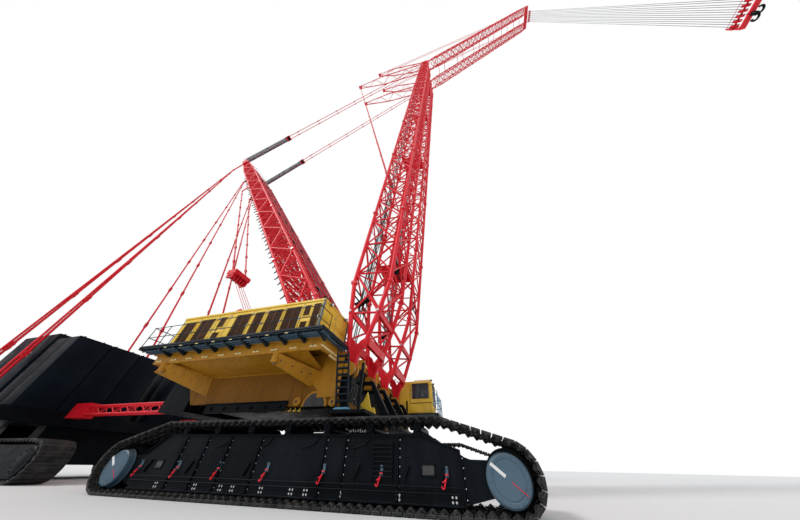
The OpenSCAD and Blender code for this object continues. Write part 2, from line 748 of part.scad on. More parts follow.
// struts that swing with the jib, on plates inside the feet of the jibs
fstrut_q = [-720, 0, 11700];
module front_struts() {
    p = jib_point(54, 0);
    q = fstrut_q;
    l = norm(q - p);
    a = atan2(q[2] - p[2], q[0] - p[0]);
    w = jib_w / 2 - 9;
    color(red) for (s = [-1, 1]) translate([0, s * boom_yc, 0]) {
        translate(p) rotate([0, -a, 0]) {
            truss(l - 60, 2 * w - 14, 90, 8, 14, 8, 300, 900, 30, 50, 76, 70, 16);
            slab(l - 60, l, -46, 46, -30, 30);
            for (k = [-1, 1]) slab(4, 84, k > 0 ? w - 7 : -w, k > 0 ? w : 7 - w, -20, 24);
            slab(62, 84, -w, w, -12, 12);
        }
        color(black) ycyl(q[0], -50, 50, q[2], 40);
    }
}

// bars from the front struts to the rear face of the jib head
module jib_stays() {
    q = fstrut_q;
    e = jib_point(jib_l - 170, 54);
    u = unit(q, e);
    color(red) for (s = [-1, 1], k = [-20, 20]) translate([0, s * boom_yc + k, 0])
        bar(q + 40.3 * u, e, 12);
}

function jib_point(s, d) = [jib_x + s * cos(jib_a) - d * sin(jib_a), 0,
    jib_z + s * sin(jib_a) + d * cos(jib_a)];

module jib_head() {
    color(red) jib_place() {
        slab(jib_l - 230, jib_l - 110, -boom_yc - 130, boom_yc + 130, -48, 48);
        for (y = [-192:64:192]) side([[jib_l - 120, 48], [jib_l - 120, -48], [jib_l - 20, -sheave_e - 24],
            [jib_l + 14, -sheave_e - 20], [jib_l + 24, -sheave_e + 14]], y - 4, y + 4);
        ycyl(jib_l, -196, 196, -sheave_e, 16);
    }
    color(black) for (y = [-160:64:160]) ycyl(tip_x, y - 14, y + 14, tip_z, sheave_r);
}

module mast() {
    color(red) mast_place() {
        truss(mast_l - 100, mast_w, mast_h, mast_n, 28, 13, 500, 500, 30, 130, 190);
        for (s = [-1, 1]) {
            y = s * mast_w / 2;
            difference() {
                union() {
                    side([[0, -22], [190, -58], [190, 58], [0, 22]], y - 10, y + 10);
                    ycyl(0, y - 11.5, y + 11.5, 0, 26);
                }
                ycyl(0, y - 20, y + 20, 0, 12.3);
            }
        }
        // bracket of the luffing bars
        for (u = [0, 160]) bar([luff_s + 60 + u, -mast_w / 2, mast_h / 2],
            [luff_s + 60 + u, mast_w / 2, mast_h / 2], 26);
        for (y = [-96, 96]) {
            side([[luff_s + 50, mast_h / 2 - 10], [luff_s + 230, mast_h / 2 - 10], [luff_s + 10, luff_d + 8],
                [luff_s - 6, luff_d - 8]], y - 8, y + 8);
            ycyl(luff_s, y - 10, y + 10, luff_d, luff_r);
        }
    }
}

module mast_head() {
    y1 = mast_w / 2 + 40;
    color(red) mast_place() {
        slab(mast_l - 100, mast_l + 30, -y1, y1, -60, 60);
        for (y = [-300, 0, 300]) {
            side([[mast_l - 70, 59], [mast_l - 10, 59], [yoke_s + 10, yoke_d],
                [yoke_s - 8, yoke_d - 8]], y - 10, y + 10);
            ycyl(yoke_s, y - 14, y + 14, yoke_d, yoke_r);
        }
    }
    color(black) for (s = [-1, 1]) for (k = [-30, 0, 30])
        ycyl(mhead_x, s * 300 + k - 12, s * 300 + k + 12, mhead_z, mhead_r);
}

module hoist_ropes() {
    color(black) {
        for (x = [-rope_x, rope_x], y = [-160:64:160])
            bar([tip_x + x, y, tip_z], [tip_x + x, y, tip_z - rope_l], rope_d);
    }
}

block_low = 86;
shank_r = 18;
module hook_block() {
    z = tip_z - rope_l;
    color(red) difference() {
        union() {
            for (y = [-192, 192]) side([[tip_x - 70, z - 64], [tip_x + 70, z - 64],
                [tip_x + 60, z + 70], [tip_x - 60, z + 70]], y - 8, y + 8);
            slab(tip_x - 40, tip_x + 40, -200, 200, z - 170, z - 140);
            for (y = [-192, 192]) slab(tip_x - 40, tip_x + 40, y - 8, y + 8, z - 142, z - 60);
        }
        translate([tip_x, 0, z - 200]) cylinder(r = shank_r + 0.3, h = 100, $fn = 40);
    }
    color(black) for (y = [-160:64:160]) ycyl(tip_x, y - 14, y + 14, z, sheave_r);
    color(steel) ycyl(tip_x, -186, 186, z, 14);
}

module hook() {
    z = tip_z - rope_l - 170;
    color(black) {
        translate([tip_x, 0, z - 60]) cylinder(r = shank_r, h = 106, $fn = 40);
        translate([tip_x, 0, z + 30.3]) cylinder(r = 30, h = 20, $fn = 40);
        translate([tip_x, 0, z - 80]) cylinder(r = 30, h = 60, $fn = 40);
        for (s = [-1, 1]) translate([tip_x, s * 46, z - 92]) rotate([90, 0, 90])
            rotate_extrude(angle = 230, start = s > 0 ? 180 : 130, $fn = 48)
                translate([46, 0]) circle(r = 15, $fn = 24);
    }
}

// lattice beams that hold the ballast carrier at its distance
module link_beams() {
    x1 = -ballast_x + 140;
    n = 10;
    color(red) both() {
        for (z = [-22, 22], y = [-22, 22])
            bar([-1060, 360 + y, 330 + z], [x1, 360 + y, 330 + z], 12);
        for (i = [0:n - 1]) {
            xa = -1066 + i * (x1 + 1066) / n;
            xb = xa + (x1 + 1066) / n;
            q = i % 2 == 0 ? 1 : -1;
            for (y = [338, 382]) bar([xa, y, 330 - q * 20], [xb, y, 330 + q * 20], 6, 6);
        }
        slab(-ballast_x - 10, x1, 330, 390, 290, 370);
    }
}

carrier_x0 = -2750;
carrier_x1 = -1450;
carrier_y = 490;
arm_y = 720;
module carrier_frame() {
    x0 = -ballast_x - 760;
    color(black) {
        slab(x0, -ballast_x - 10, -680, 680, 250, 318);
        for (x = [x0 + 160, x0 + 580]) {
            slab(x, x + 90, -carrier_y, carrier_y, 70, 150);
            slab(x, x + 90, -carrier_y + 90, carrier_y - 90, 149, 251);
        }
        both() {
            slab(carrier_x0 + 120, carrier_x1 - 120, carrier_y - 50, carrier_y + 50, 20, 150);
            for (x = [carrier_x0 + 86, carrier_x1 - 86])
                ycyl(x, carrier_y - 60, carrier_y + 60, 86, 64);
            for (x = [carrier_x0 + 86, carrier_x1 - 166])
                slab(x, x + 80, carrier_y - 40, carrier_y + 40, 66, 106);
            for (x = [arm_xs[0], arm_xs[1]]) slab(x - 30, x + 30, 679, arm_y + 20, 270, 318);
        }
    }
}

arm_xs = [-ballast_x - 275, -ballast_x - 655];
module carrier_tracks() {
    xm = (carrier_x0 + carrier_x1) / 2;
    xa = (carrier_x1 - carrier_x0) / 2 - 86;
    color(black) translate([xm, 0, 0]) both()
        track_loop(xa, 86, xa - 60, 60, 178, 54, carrier_y - 70, carrier_y + 70);
}

module stack(x0, x1, y0, y1, n) {
    for (i = [0:n - 1])
        slab(x0, x1, y0, y1, 318 + i * slab_h, 318 + (i + 1) * slab_h - 2);
    slab(x0 + 8, x1 - 8, y0 + 8, y1 - 8, 318, 318 + n * slab_h - 2);
}

module ballast_slabs() {
    color(black) both() for (k = [0:2]) {
        y0 = 70 + k * (stack_w + 8);
        stack(-ballast_x - 250, -ballast_x - 10, y0, y0 + stack_w, slab_n);
        stack(-ballast_x - 710, -ballast_x - 300, y0, y0 + stack_w, slab_n + 1);
    }
}

// bars from the carrier up to the yoke behind the mast head
module ballast_pendants() {
    b = on_mast(yoke_s, yoke_d);
    color(red) for (y = [-1, 0, 1], k = [0, 1]) {
        // each bar stands on its lower rim, 0.3 mm clear
        a = [arm_xs[k], y * arm_y, 320.6];
        c = b + [11 - 22 * k, y * 300, 3.2 - 6.4 * k];
        bar(a, c - (yoke_r - 0.1) * unit(a, c), 14);
    }
}

side_frames();
carbody();
track_right();
track_left();
rollers();
wheel_covers();
crawler_fittings();
upper_frame();
rear_ballast();
deck();
handrails();
house_right();
louvres();
house_left();
engine_block();
ladder();
winches();
gantry();
luffing_block();
cab_body();
cab_glass();
cab_seat();
cab_door();
boom_right();
boom_left();
boom_feet();
boom_ties();
boom_head();
boom_stays();
rear_struts();
strut_pendants();
jibs();
front_struts();
jib_stays();
jib_head();
mast();
mast_head();
hoist_ropes();
hook_block();
hook();
link_beams();
carrier_frame();
carrier_tracks();
ballast_slabs();
ballast_pendants();
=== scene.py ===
"""Twin-boom crawler crane at 1:10: finishes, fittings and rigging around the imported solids."""
import json
import math

import bmesh
import bpy
from mathutils import Matrix, Vector


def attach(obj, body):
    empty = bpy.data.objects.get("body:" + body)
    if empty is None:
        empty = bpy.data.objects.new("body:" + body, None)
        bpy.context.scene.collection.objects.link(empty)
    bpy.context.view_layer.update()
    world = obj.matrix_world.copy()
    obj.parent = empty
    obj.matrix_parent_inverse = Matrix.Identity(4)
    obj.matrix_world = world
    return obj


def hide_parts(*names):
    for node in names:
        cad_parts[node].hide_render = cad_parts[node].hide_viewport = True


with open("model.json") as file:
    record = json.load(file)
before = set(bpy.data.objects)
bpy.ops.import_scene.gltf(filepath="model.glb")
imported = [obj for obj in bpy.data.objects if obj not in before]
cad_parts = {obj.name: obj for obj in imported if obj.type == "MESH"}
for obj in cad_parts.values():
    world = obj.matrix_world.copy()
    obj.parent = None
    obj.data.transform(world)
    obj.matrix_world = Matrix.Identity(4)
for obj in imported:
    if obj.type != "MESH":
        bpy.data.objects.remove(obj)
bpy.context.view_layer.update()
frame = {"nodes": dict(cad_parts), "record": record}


# Camera, floor and light

PITCH, ROLL, HEADING = (math.radians(a) for a in (42.78, 1.33, 16.27))
EYE = (0.675, -1.5, 0.096)
FILM_WIDTH, FOCAL_LENGTH = 36, 10.07
FLOOR_REACH, FLOOR_TONE = 90, (0.78, 0.78, 0.77)
SKY_TONE, SKY_STRENGTH = (0.93, 0.96, 1), 0.62
LAMPS = (("sun", 1.5, 12, (48, -12, -38)), ("fill", 0.35, 60, (70, 0, 60)))


def put_in_scene(name, data):
    """A new object in the scene, unturned and at the origin."""
    obj = bpy.data.objects.new(name, data)
    bpy.context.scene.collection.objects.link(obj)
    return obj


def look_up_camera():
    """A camera near the floor that looks up along the near crawler."""
    level = Vector((-math.sin(HEADING), math.cos(HEADING), 0))
    right = Vector((math.cos(HEADING), math.sin(HEADING), 0))
    up = Vector((0, 0, 1))
    forward = math.cos(PITCH) * level + math.sin(PITCH) * up
    above = -math.sin(PITCH) * level + math.cos(PITCH) * up
    side = math.cos(ROLL) * right + math.sin(ROLL) * above
    top = -math.sin(ROLL) * right + math.cos(ROLL) * above
    data = bpy.data.cameras.new("camera")
    data.sensor_width = FILM_WIDTH
    data.lens = FOCAL_LENGTH
    data.clip_start, data.clip_end = 0.01, 400
    camera = put_in_scene("camera", data)
    turn = Matrix((side, top, -forward)).transposed().to_4x4()
    camera.matrix_world = Matrix.Translation(EYE) @ turn
    bpy.context.scene.camera = camera


def studio_floor():
    """A plain pale floor that isn't part of the model."""
    bm = bmesh.new()
    bmesh.ops.create_grid(bm, x_segments=4, y_segments=4, size=FLOOR_REACH)
    mesh = bpy.data.meshes.new("floor")
    bm.to_mesh(mesh)
    bm.free()
    floor = put_in_scene("floor", mesh)
    mesh.materials.append(Finish("floor_pale").set(Base_Color=(*FLOOR_TONE, 1), Roughness=0.9))


def studio_light():
    """A white backdrop, a softer sky that lights the model, and two lamps."""
    world = bpy.data.worlds.new("studio")
    bpy.context.scene.world = world
    world.use_nodes = True
    nodes, links = world.node_tree.nodes, world.node_tree.links
    nodes.clear()

    def larger(a, b):
        """The larger of two values."""
        node = nodes.new("ShaderNodeMath")
        node.operation = "MAXIMUM"
        links.new(a, node.inputs[0])
        links.new(b, node.inputs[1])
        return node.outputs[0]

    path = nodes.new("ShaderNodeLightPath").outputs
    mix = nodes.new("ShaderNodeMixShader")
    mirrored = larger(path["Is Glossy Ray"], path["Is Transmission Ray"])
    links.new(larger(path["Is Camera Ray"], mirrored), mix.inputs[0])
    for socket, tone, strength in ((1, SKY_TONE, SKY_STRENGTH), (2, (1, 1, 1), 1)):
        sky = nodes.new("ShaderNodeBackground")
        sky.inputs["Color"].default_value = (*tone, 1)
        sky.inputs["Strength"].default_value = strength
        links.new(sky.outputs[0], mix.inputs[socket])
    links.new(mix.outputs[0], nodes.new("ShaderNodeOutputWorld").inputs["Surface"])
    for name, strength, spread, turn in LAMPS:
        data = bpy.data.lights.new(name, "SUN")
        data.energy = strength
        data.angle = math.radians(spread)
        put_in_scene(name, data).rotation_euler = [math.radians(a) for a in turn]
    bpy.context.scene.view_settings.view_transform = "Standard"


# Finishes

class Finish:
    """A material with its node tree at hand."""

    def __init__(self, name):
        self.mat = bpy.data.materials.new(name)
        self.mat.use_nodes = True
        self.nodes = self.mat.node_tree.nodes
        self.links = self.mat.node_tree.links
        self.shader = self.nodes["Principled BSDF"]
        self.place = self.nodes.new("ShaderNodeTexCoord").outputs["Object"]

    def feed(self, socket, value):
        """Links another node's output to an input, or sets the input's value."""
        if isinstance(value, bpy.types.NodeSocket):
            self.links.new(value, socket)
        else:
            socket.default_value = value

    def node(self, kind, **inputs):
        """A new node, its inputs fed by name."""
        made = self.nodes.new("ShaderNode" + kind)
        for key, value in inputs.items():
            self.feed(made.inputs[key.replace("_", " ")], value)
        return made

    def noise(self, scale, detail=4, stretch=None):
        """Grey noise, drawn out along one axis where stretch says so."""
        place = self.place
        if stretch:
            place = self.node("Mapping", Vector=place, Scale=stretch).outputs[0]
        return self.node("TexNoise", Vector=place, Scale=scale, Detail=detail, Roughness=0.55).outputs["Fac"]

    def cells(self, scale):
        """Small round grains."""
        return self.node("TexVoronoi", Vector=self.place, Scale=scale).outputs["Distance"]

    def band(self, value, low, high, to_low=0.0, to_high=1.0):
        """A value spread from one range over another."""
        made = self.node("MapRange", Value=value, From_Min=low, From_Max=high, To_Min=to_low, To_Max=to_high)
        return made.outputs["Result"]

    def combine(self, kind, a, b):
        """Two values joined by a step of arithmetic."""
        made = self.node("Math")
        made.operation = kind
        self.feed(made.inputs[0], a)
        self.feed(made.inputs[1], b)
        return made.outputs[0]

    def times(self, a, b):
        """One value times another."""
        return self.combine("MULTIPLY", a, b)

    def mix(self, mask, a, b):
        """Colour a where the mask is 0 and colour b where it is 1."""
        made = self.node("Mix", Factor=mask)
        made.data_type = "RGBA"
        for socket, value in ((made.inputs[6], a), (made.inputs[7], b)):
            self.feed(socket, (*value, 1) if isinstance(value, tuple) else value)
        return made.outputs[2]

    def edges(self, radius):
        """1 along outer and inner edges, 0 on flat faces."""
        bevel = self.node("Bevel", Radius=radius)
        bevel.samples = 4
        dot = self.node("VectorMath")
        dot.operation = "DOT_PRODUCT"
        self.feed(dot.inputs[0], bevel.outputs[0])
        self.feed(dot.inputs[1], self.node("NewGeometry").outputs["Normal"])
        return self.band(self.combine("SUBTRACT", 1.0, dot.outputs["Value"]), 0.02, 0.16)

    def upward(self):
        """1 on faces that look up, where dust settles."""
        split = self.node("SeparateXYZ", Vector=self.node("NewGeometry").outputs["Normal"])
        return self.band(split.outputs["Z"], 0.3, 0.95)

    def relief(self, height, strength, distance):
        """Small bumps on the surface."""
        bump = self.node("Bump", Strength=strength, Distance=distance, Height=height)
        self.set(Normal=bump.outputs[0])

    def set(self, **inputs):
        """Feeds inputs of the shader by name and gives back the material."""
        for key, value in inputs.items():
            self.feed(self.shader.inputs[key.replace("_", " ")], value)
        return self.mat

    def skin(self, colour, spread=None, noise=None):
        """Base colour, and a roughness that a noise spreads over a range."""
        self.set(Base_Color=colour)
        if spread:
            self.set(Roughness=self.band(self.noise(*noise), 0.3, 0.7, *spread))


PALE_DUST, DARK_DUST, EARTH = (0.42, 0.38, 0.33), (0.10, 0.10, 0.10), (0.28, 0.25, 0.21)


def enamel(name, paint, faded, grime, rough, wear, dirt, edge=0.0022, shine=0.28):
    """Brushed or sprayed machine paint: faded patches, runs of grime, dust on top and rubbed edges."""
    f = Finish(name)
    patches = f.band(f.noise(5.5, 5), 0.42, 0.68)
    base = f.mix(f.times(patches, 0.45), paint, faded)
    runs = f.band(f.noise(1.0, 5, (42, 42, 3.2)), 0.52, 0.78)
    spots = f.band(f.noise(70, 6), 0.55, 0.75)
    soil = f.times(f.combine("MAXIMUM", runs, f.times(spots, 0.6)), dirt)
    base = f.mix(soil, base, grime)
    rub = f.times(f.edges(edge), f.band(f.noise(38, 5), 0.38, 0.62))
    base = f.mix(f.times(rub, wear), base, faded)
    dust = f.times(f.upward(), f.band(f.noise(12, 5), 0.3, 0.75, 0.08, 0.4))
    f.skin(f.mix(dust, base, PALE_DUST if shine > 0.2 else DARK_DUST))
    dulled = f.band(f.noise(22, 4), 0.3, 0.7, rough - 0.07, rough + 0.1)
    f.set(Roughness=f.combine("ADD", dulled, f.times(soil, 0.3)))
    f.relief(f.noise(240, 3), 0.12, 0.0006)
    return f.set(Specular_IOR_Level=shine, Coat_Weight=shine / 7, Coat_Roughness=0.25)


def cast_shoes(name):
    """Cast track steel: dark skin, patches of ground dust and bright rubbed edges."""
    f = Finish(name)
    base = f.mix(f.band(f.noise(30, 6), 0.35, 0.7), (0.010, 0.011, 0.013), (0.030, 0.030, 0.030))
    mud = f.band(f.noise(14, 6), 0.46, 0.66)
    base = f.mix(f.times(mud, 0.22), base, (0.12, 0.105, 0.085))
    worn = f.times(f.edges(0.003), f.band(f.noise(45, 5), 0.35, 0.6))
    f.skin(f.mix(f.times(worn, 0.40), base, (0.26, 0.26, 0.26)), (0.45, 0.8), (26, 4))
    f.relief(f.noise(120, 6), 0.35, 0.0012)
    return f.set(Metallic=0.2, Specular_IOR_Level=0.2)


def bare_steel(name, tone=(0.42, 0.43, 0.45), rough=0.35, oil=0.3):
    """Machined or rolled steel with a film of oil and fine scratches."""
    f = Finish(name)
    film = f.times(f.band(f.noise(18, 5), 0.42, 0.7), oil)
    f.skin(f.mix(film, tone, (0.05, 0.045, 0.04)), (rough - 0.1, rough + 0.15), (1.0, 4, (20, 20, 260)))
    f.relief(f.noise(1.0, 3, (60, 60, 700)), 0.08, 0.0004)
    return f.set(Metallic=0.9)


def laid_rope(name, tone=(0.06, 0.07, 0.085)):
    """Greased wire rope, its strands as a slanted wave."""
    f = Finish(name)
    wave = f.node("TexWave", Vector=f.place, Scale=120.0, Distortion=0.5)
    wave.bands_direction = "DIAGONAL"
    strands = wave.outputs["Fac"]
    f.skin(f.mix(f.times(strands, f.noise(40, 3)), tone, tuple(3 * c for c in tone)))
    f.relief(strands, 0.5, 0.001)
    return f.set(Metallic=0.4, Roughness=0.45)


def rubber_hose(name, tone=(0.02, 0.02, 0.022)):
    """Black rubber with a dull grain."""
    f = Finish(name)
    f.skin(f.mix(f.band(f.noise(60, 4), 0.4, 0.7), tone, (0.07, 0.065, 0.06)), (0.45, 0.7), (30, 3))
    f.relief(f.noise(300, 2), 0.2, 0.0004)
    return f.mat


def cab_pane(name):
    """Tinted glass with a light film of dust."""
    f = Finish(name)
    f.skin(f.mix(f.band(f.noise(9, 4), 0.5, 0.8, 0, 0.4), (0.035, 0.06, 0.08), (0.10, 0.13, 0.15)))
    f.mat.surface_render_method = "BLENDED"
    return f.set(Roughness=f.band(f.noise(25, 5), 0.4, 0.8, 0.03, 0.2), Alpha=0.66, IOR=1.45)


def moulded(name, tone, rough=0.55):
    """Grained moulded plastic."""
    f = Finish(name)
    lighter = tuple(c * 1.6 + 0.01 for c in tone)
    f.skin(f.mix(f.band(f.noise(20, 4), 0.4, 0.7), tone, lighter), (rough - 0.08, rough + 0.1), (40, 3))
    f.relief(f.cells(700), 0.25, 0.0004)
    return f.mat


def lamp_lens(name):
    """Clear lens with a fine pattern."""
    f = Finish(name)
    f.skin(f.mix(f.band(f.noise(120, 3), 0.4, 0.6), (0.85, 0.86, 0.84), (0.95, 0.95, 0.92)))
    f.relief(f.cells(900), 0.3, 0.0005)
    return f.set(Roughness=0.12, Coat_Weight=0.6)


# for each paint: name, fresh, faded and grimy colour, then roughness, wear, dirt, edge and shine
PAINTS = {
    "red": ("red_lattice_enamel", (0.74, 0.008, 0.02), (0.84, 0.045, 0.07), (0.26, 0.006, 0.015),
            0.40, 0.5, 0.35, 0.003, 0.22),
    "yellow": ("yellow_panel_enamel", (0.84, 0.55, 0.035), (0.90, 0.68, 0.17), (0.34, 0.20, 0.05),
               0.40, 0.5, 0.35),
    # ochre paint, its colour darkened further to paint in the shade that lies under the deck
    "ochre": ("ochre_frame_enamel_with_painted_shade", (0.50, 0.225, 0.014), (0.60, 0.31, 0.05), (0.12, 0.055, 0.015),
              0.48, 0.45, 0.5, 0.003, 0.2),
    # ochre darkened further still: painted shade on the hull's side walls in the recess under the deck
    "ochre_painted_deep_shade": ("hull_wall_ochre_painted_shade", (0.24, 0.10, 0.008), (0.32, 0.15, 0.03), (0.05, 0.025, 0.01),
                   0.5, 0.45, 0.6, 0.003, 0.12),
    "black": ("black_frame_enamel", (0.0020, 0.0034, 0.0055), (0.009, 0.013, 0.018), (0.03, 0.031, 0.031),
              0.42, 0.6, 0.16, 0.003, 0.06),
    "slate": ("slate_cover_enamel", (0.055, 0.105, 0.15), (0.13, 0.19, 0.24), (0.08, 0.10, 0.11),
              0.42, 0.5, 0.35),
    "teal": ("teal_walkway_enamel", (0.006, 0.013, 0.020), (0.035, 0.055, 0.07), (0.10, 0.10, 0.09),
             0.45, 0.4, 0.15, 0.0015, 0.14),
    "blue_grey": ("blue_grey_bearer_enamel", (0.06, 0.12, 0.17), (0.16, 0.24, 0.30), EARTH,
                  0.45, 0.4, 0.2, 0.0015),
    "cream": ("cream_tab_enamel", (0.86, 0.72, 0.30), (0.92, 0.82, 0.50), (0.4, 0.3, 0.15), 0.45, 0.3, 0.2),
    "blue": ("pale_blue_rail_enamel", (0.10, 0.34, 0.52), (0.30, 0.50, 0.62), EARTH, 0.4, 0.5, 0.25, 0.0015),
    "brown": ("brown_louvre_enamel", (0.125, 0.058, 0.03), (0.24, 0.14, 0.085), (0.03, 0.02, 0.015),
              0.55, 0.4, 0.6, 0.0015),
    "ballast": ("black_ballast_enamel", (0.0020, 0.0052, 0.0095), (0.007, 0.014, 0.023),
                (0.015, 0.019, 0.023), 0.45, 0.5, 0.2, 0.004, 0.06),
    "mark_white": ("white_mark_enamel", (0.75, 0.76, 0.76), (0.85, 0.85, 0.84), (0.3, 0.3, 0.28),
                   0.4, 0.2, 0.3)}


def make_finishes():
    """All materials by their short names."""
    return {
        **{key: enamel(*values) for key, values in PAINTS.items()},
        "shoes": cast_shoes("cast_track_steel"),
        "steel": bare_steel("oiled_machined_steel"),
        "bright": bare_steel("bright_bolt_steel", (0.6, 0.6, 0.6), 0.3, 0.15),
        "rope": laid_rope("greased_wire_rope"),
        "hose": rubber_hose("black_hose_rubber"),
        "glass": cab_pane("tinted_cab_glass"),
        "seat": moulded("black_seat_plastic", (0.018, 0.018, 0.02)),
        "lens": lamp_lens("ribbed_lamp_lens")}


# finish of the solids in each slot
SLOT_FINISH = {
    "black_paint": "black", "track_steel": "shoes", "roller_steel": "black", "slate_paint": "slate",
    "teal_paint": "teal", "ochre_paint": "ochre", "yellow_paint": "yellow", "brown_paint": "brown",
    "red_paint": "red", "glass": "glass", "seat_plastic": "seat", "ballast_iron": "ballast",
    "rope_steel": "rope", "hook_steel": "black"}


def dress_nodes():
    """Gives each carried-over solid its finish."""
    slots = {s["node"]: s["material_slot"] for s in frame["record"]["subparts"]}
    for name, node in frame["nodes"].items():
        finish = FINISH[SLOT_FINISH[slots[name]]]
        if not node.data.materials:
            node.data.materials.append(finish)
        for slot in node.material_slots:
            slot.material = finish


# Building blocks, in model millimetres

MM_IN_METRE = 1000
TO_METRES = Matrix.Scale(1 / MM_IN_METRE, 4)
SHARP = math.radians(35)


def moved(x, y, z):
    """A place that is only shifted."""
    return Matrix.Translation((x, y, z))


def turned_by(degrees, axis):
    """A place that is only turned, about one axis."""
    return Matrix.Rotation(math.radians(degrees), 4, axis)


def arm_place(x, z, angle):
    """Place of an arm whose foot is at x and z and that points up at this angle, as in the CAD."""
    return moved(x, 0, z) @ turned_by(-angle, "Y")


BOOM = arm_place(107, 453, 84.2)
MAST = arm_place(-140, 589, 125.6)
JIB = arm_place(1155.485, 9835.074, 50.2)
SIDES = (-1, 1)


def span(side, a, b):
    """Lower and upper end of a reach from a to b, on the side that is 1 or -1."""
    return sorted((side * a, side * b))


def circle(count, radius, x=0.0, z=0.0, start=0.0, sweep=360.0):
    """Points on a circle or an arc, the first at the start angle in degrees."""
    turns = (math.radians(start + sweep * k / count) for k in range(count + (sweep < 360)))
    return [(x + radius * math.cos(t), z + radius * math.sin(t)) for t in turns]


class Shape:
    """A mesh in the making for one body, its measures in millimetres in its own place."""

    def __init__(self, place=None, body="superstructure"):
        self.bm = bmesh.new()
        self.place = place or Matrix()
        self.body = body
        self.carry = bpy.data.meshes.new("carry")

    def add(self, part, local=None):
        """Joins a small mesh to this one and lets go of it."""
        bmesh.ops.transform(part, matrix=self.place @ local if local else self.place, verts=part.verts)
        part.to_mesh(self.carry)
        part.free()
        self.bm.from_mesh(self.carry)

    def repeat(self, other, places):
        """Puts a copy of another shape at each place."""
        other.bm.to_mesh(other.carry)
        for place in places:
            part = bmesh.new()
            part.from_mesh(other.carry)
            self.add(part, place)
        other.bm.free()
        bpy.data.meshes.remove(other.carry)

    @staticmethod
    def soften(part, soft, segments=1):
        """Breaks all edges of a small mesh."""
        if soft > 0:
            bmesh.ops.bevel(part, geom=part.edges[:], offset=soft, affect="EDGES", segments=segments,
                            profile=0.5, material=-1)

    def box(self, x0, x1, y0, y1, z0, z1, soft=0.6, segments=1, local=None):
        """A block between these bounds."""
        part = bmesh.new()
        bmesh.ops.create_cube(part, size=1)
        size = Matrix.Diagonal((x1 - x0, y1 - y0, z1 - z0, 1))
        middle = moved((x0 + x1) / 2, (y0 + y1) / 2, (z0 + z1) / 2)
        bmesh.ops.transform(part, matrix=middle @ size, verts=part.verts)
        self.soften(part, soft, segments)
        self.add(part, local)

    def rod(self, a, b, d, sides=12, d2=None, local=None):
        """A round bar from a to b, a cone where the second diameter differs."""
        a, b = Vector(a), Vector(b)
        way = b - a
        part = bmesh.new()
        bmesh.ops.create_cone(part, cap_ends=True, segments=sides, radius1=d / 2,
                              radius2=(d if d2 is None else d2) / 2, depth=way.length)
        turn = way.to_track_quat("Z", "Y").to_matrix().to_4x4()
        bmesh.ops.transform(part, matrix=Matrix.Translation((a + b) / 2) @ turn, verts=part.verts)
        self.add(part, local)

    def path(self, points, d, sides=12):
        """Round bars from point to point."""
        for a, b in zip(points, points[1:]):
            self.rod(a, b, d, sides)

    def slab(self, corners, way, soft, local=None):
        """A flat outline, drawn out this way into a piece."""
        part = bmesh.new()
        face = part.faces.new([part.verts.new(c) for c in corners])
        made = bmesh.ops.extrude_face_region(part, geom=[face])["geom"]
        top = [v for v in made if isinstance(v, bmesh.types.BMVert)]
        bmesh.ops.translate(part, vec=way, verts=top)
        self.soften(part, soft)
        self.add(part, local)

    def plate(self, outline, y0, y1, soft=0.0, local=None):
        """A flat piece with this outline in X and Z, from y0 to y1."""
        self.slab([(x, y0, z) for x, z in outline], (0, y1 - y0, 0), soft, local)

    def sheet(self, corners, thick, soft=0.0):
        """A flat piece with these corners in space, its thickness to both sides."""
        a, b, c = (Vector(corner) for corner in corners[:3])
        way = (b - a).cross(c - a).normalized() * thick
        self.slab([Vector(corner) - way / 2 for corner in corners], way, soft)

    def turned(self, profile, x=0.0, z=0.0, steps=40, side=1, face=0.0):
        """A profile of radius and reach along Y from a face, turned about the line through x and z."""
        part = bmesh.new()
        verts = [part.verts.new((x + r, face + side * reach, z)) for r, reach in profile]
        edges = [part.edges.new(pair) for pair in zip(verts, verts[1:])]
        bmesh.ops.spin(part, geom=verts + edges, cent=(x, 0, z), axis=(0, 1, 0), dvec=(0, 0, 0),
                       angle=2 * math.pi, steps=steps, use_merge=True, use_duplicate=False)
        bmesh.ops.remove_doubles(part, verts=part.verts[:], dist=0.001)
        self.add(part)

    def bolt(self, at, out, d, h, local=None):
        """A hexagon head on its washer, that stands out of a face."""
        at, out = Vector(at), Vector(out)
        self.rod(at - out * 0.3, at + out * h * 0.3, d * 1.45, 12, local=local)
        self.rod(at, at + out * h, d, 6, d2=d * 0.94, local=local)

    def bolt_ring(self, count, radius, x, z, face, side, d, h, start=0.0):
        """Bolts round the line through x and z, on a face that looks along Y to one side."""
        for u, v in circle(count, radius, x, z, start):
            self.bolt((u, face, v), (0, side, 0), d, h)

    def pin(self, a, b, d, head=1.5, local=None):
        """A pin with a collar at each end."""
        a, b = Vector(a), Vector(b)
        way = (b - a).normalized()
        self.rod(a, b, d, 14, local=local)
        for end, out in ((a, way), (b, -way)):
            self.rod(end + out * 0.5, end + out * (d * 0.35 + 0.5), d * head, 14, local=local)

    def done(self, name, finish, hides=(), slot=None):
        """Turns the shape into a piece of the scene."""
        bmesh.ops.transform(self.bm, matrix=TO_METRES, verts=self.bm.verts)
        bmesh.ops.recalc_face_normals(self.bm, faces=self.bm.faces)
        mesh = bpy.data.meshes.new(name)
        self.bm.to_mesh(mesh)
        self.bm.free()
        bpy.data.meshes.remove(self.carry)
        mesh.materials.append(FINISH[finish])
        mesh.shade_smooth()
        mesh.set_sharp_from_angle(angle=SHARP)
        return enlist(name, mesh, self.body, hides)


def shapes(count, place=None, body="superstructure"):
    """So many empty shapes in one place and on one body."""
    return [Shape(place, body) for _ in range(count)]


def enlist(name, data, body, hides=()):
    """Puts a piece into the scene, on its body."""
    obj = put_in_scene(name, data)
    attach(obj, body)
    if hides:
        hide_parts(*hides)
    return obj


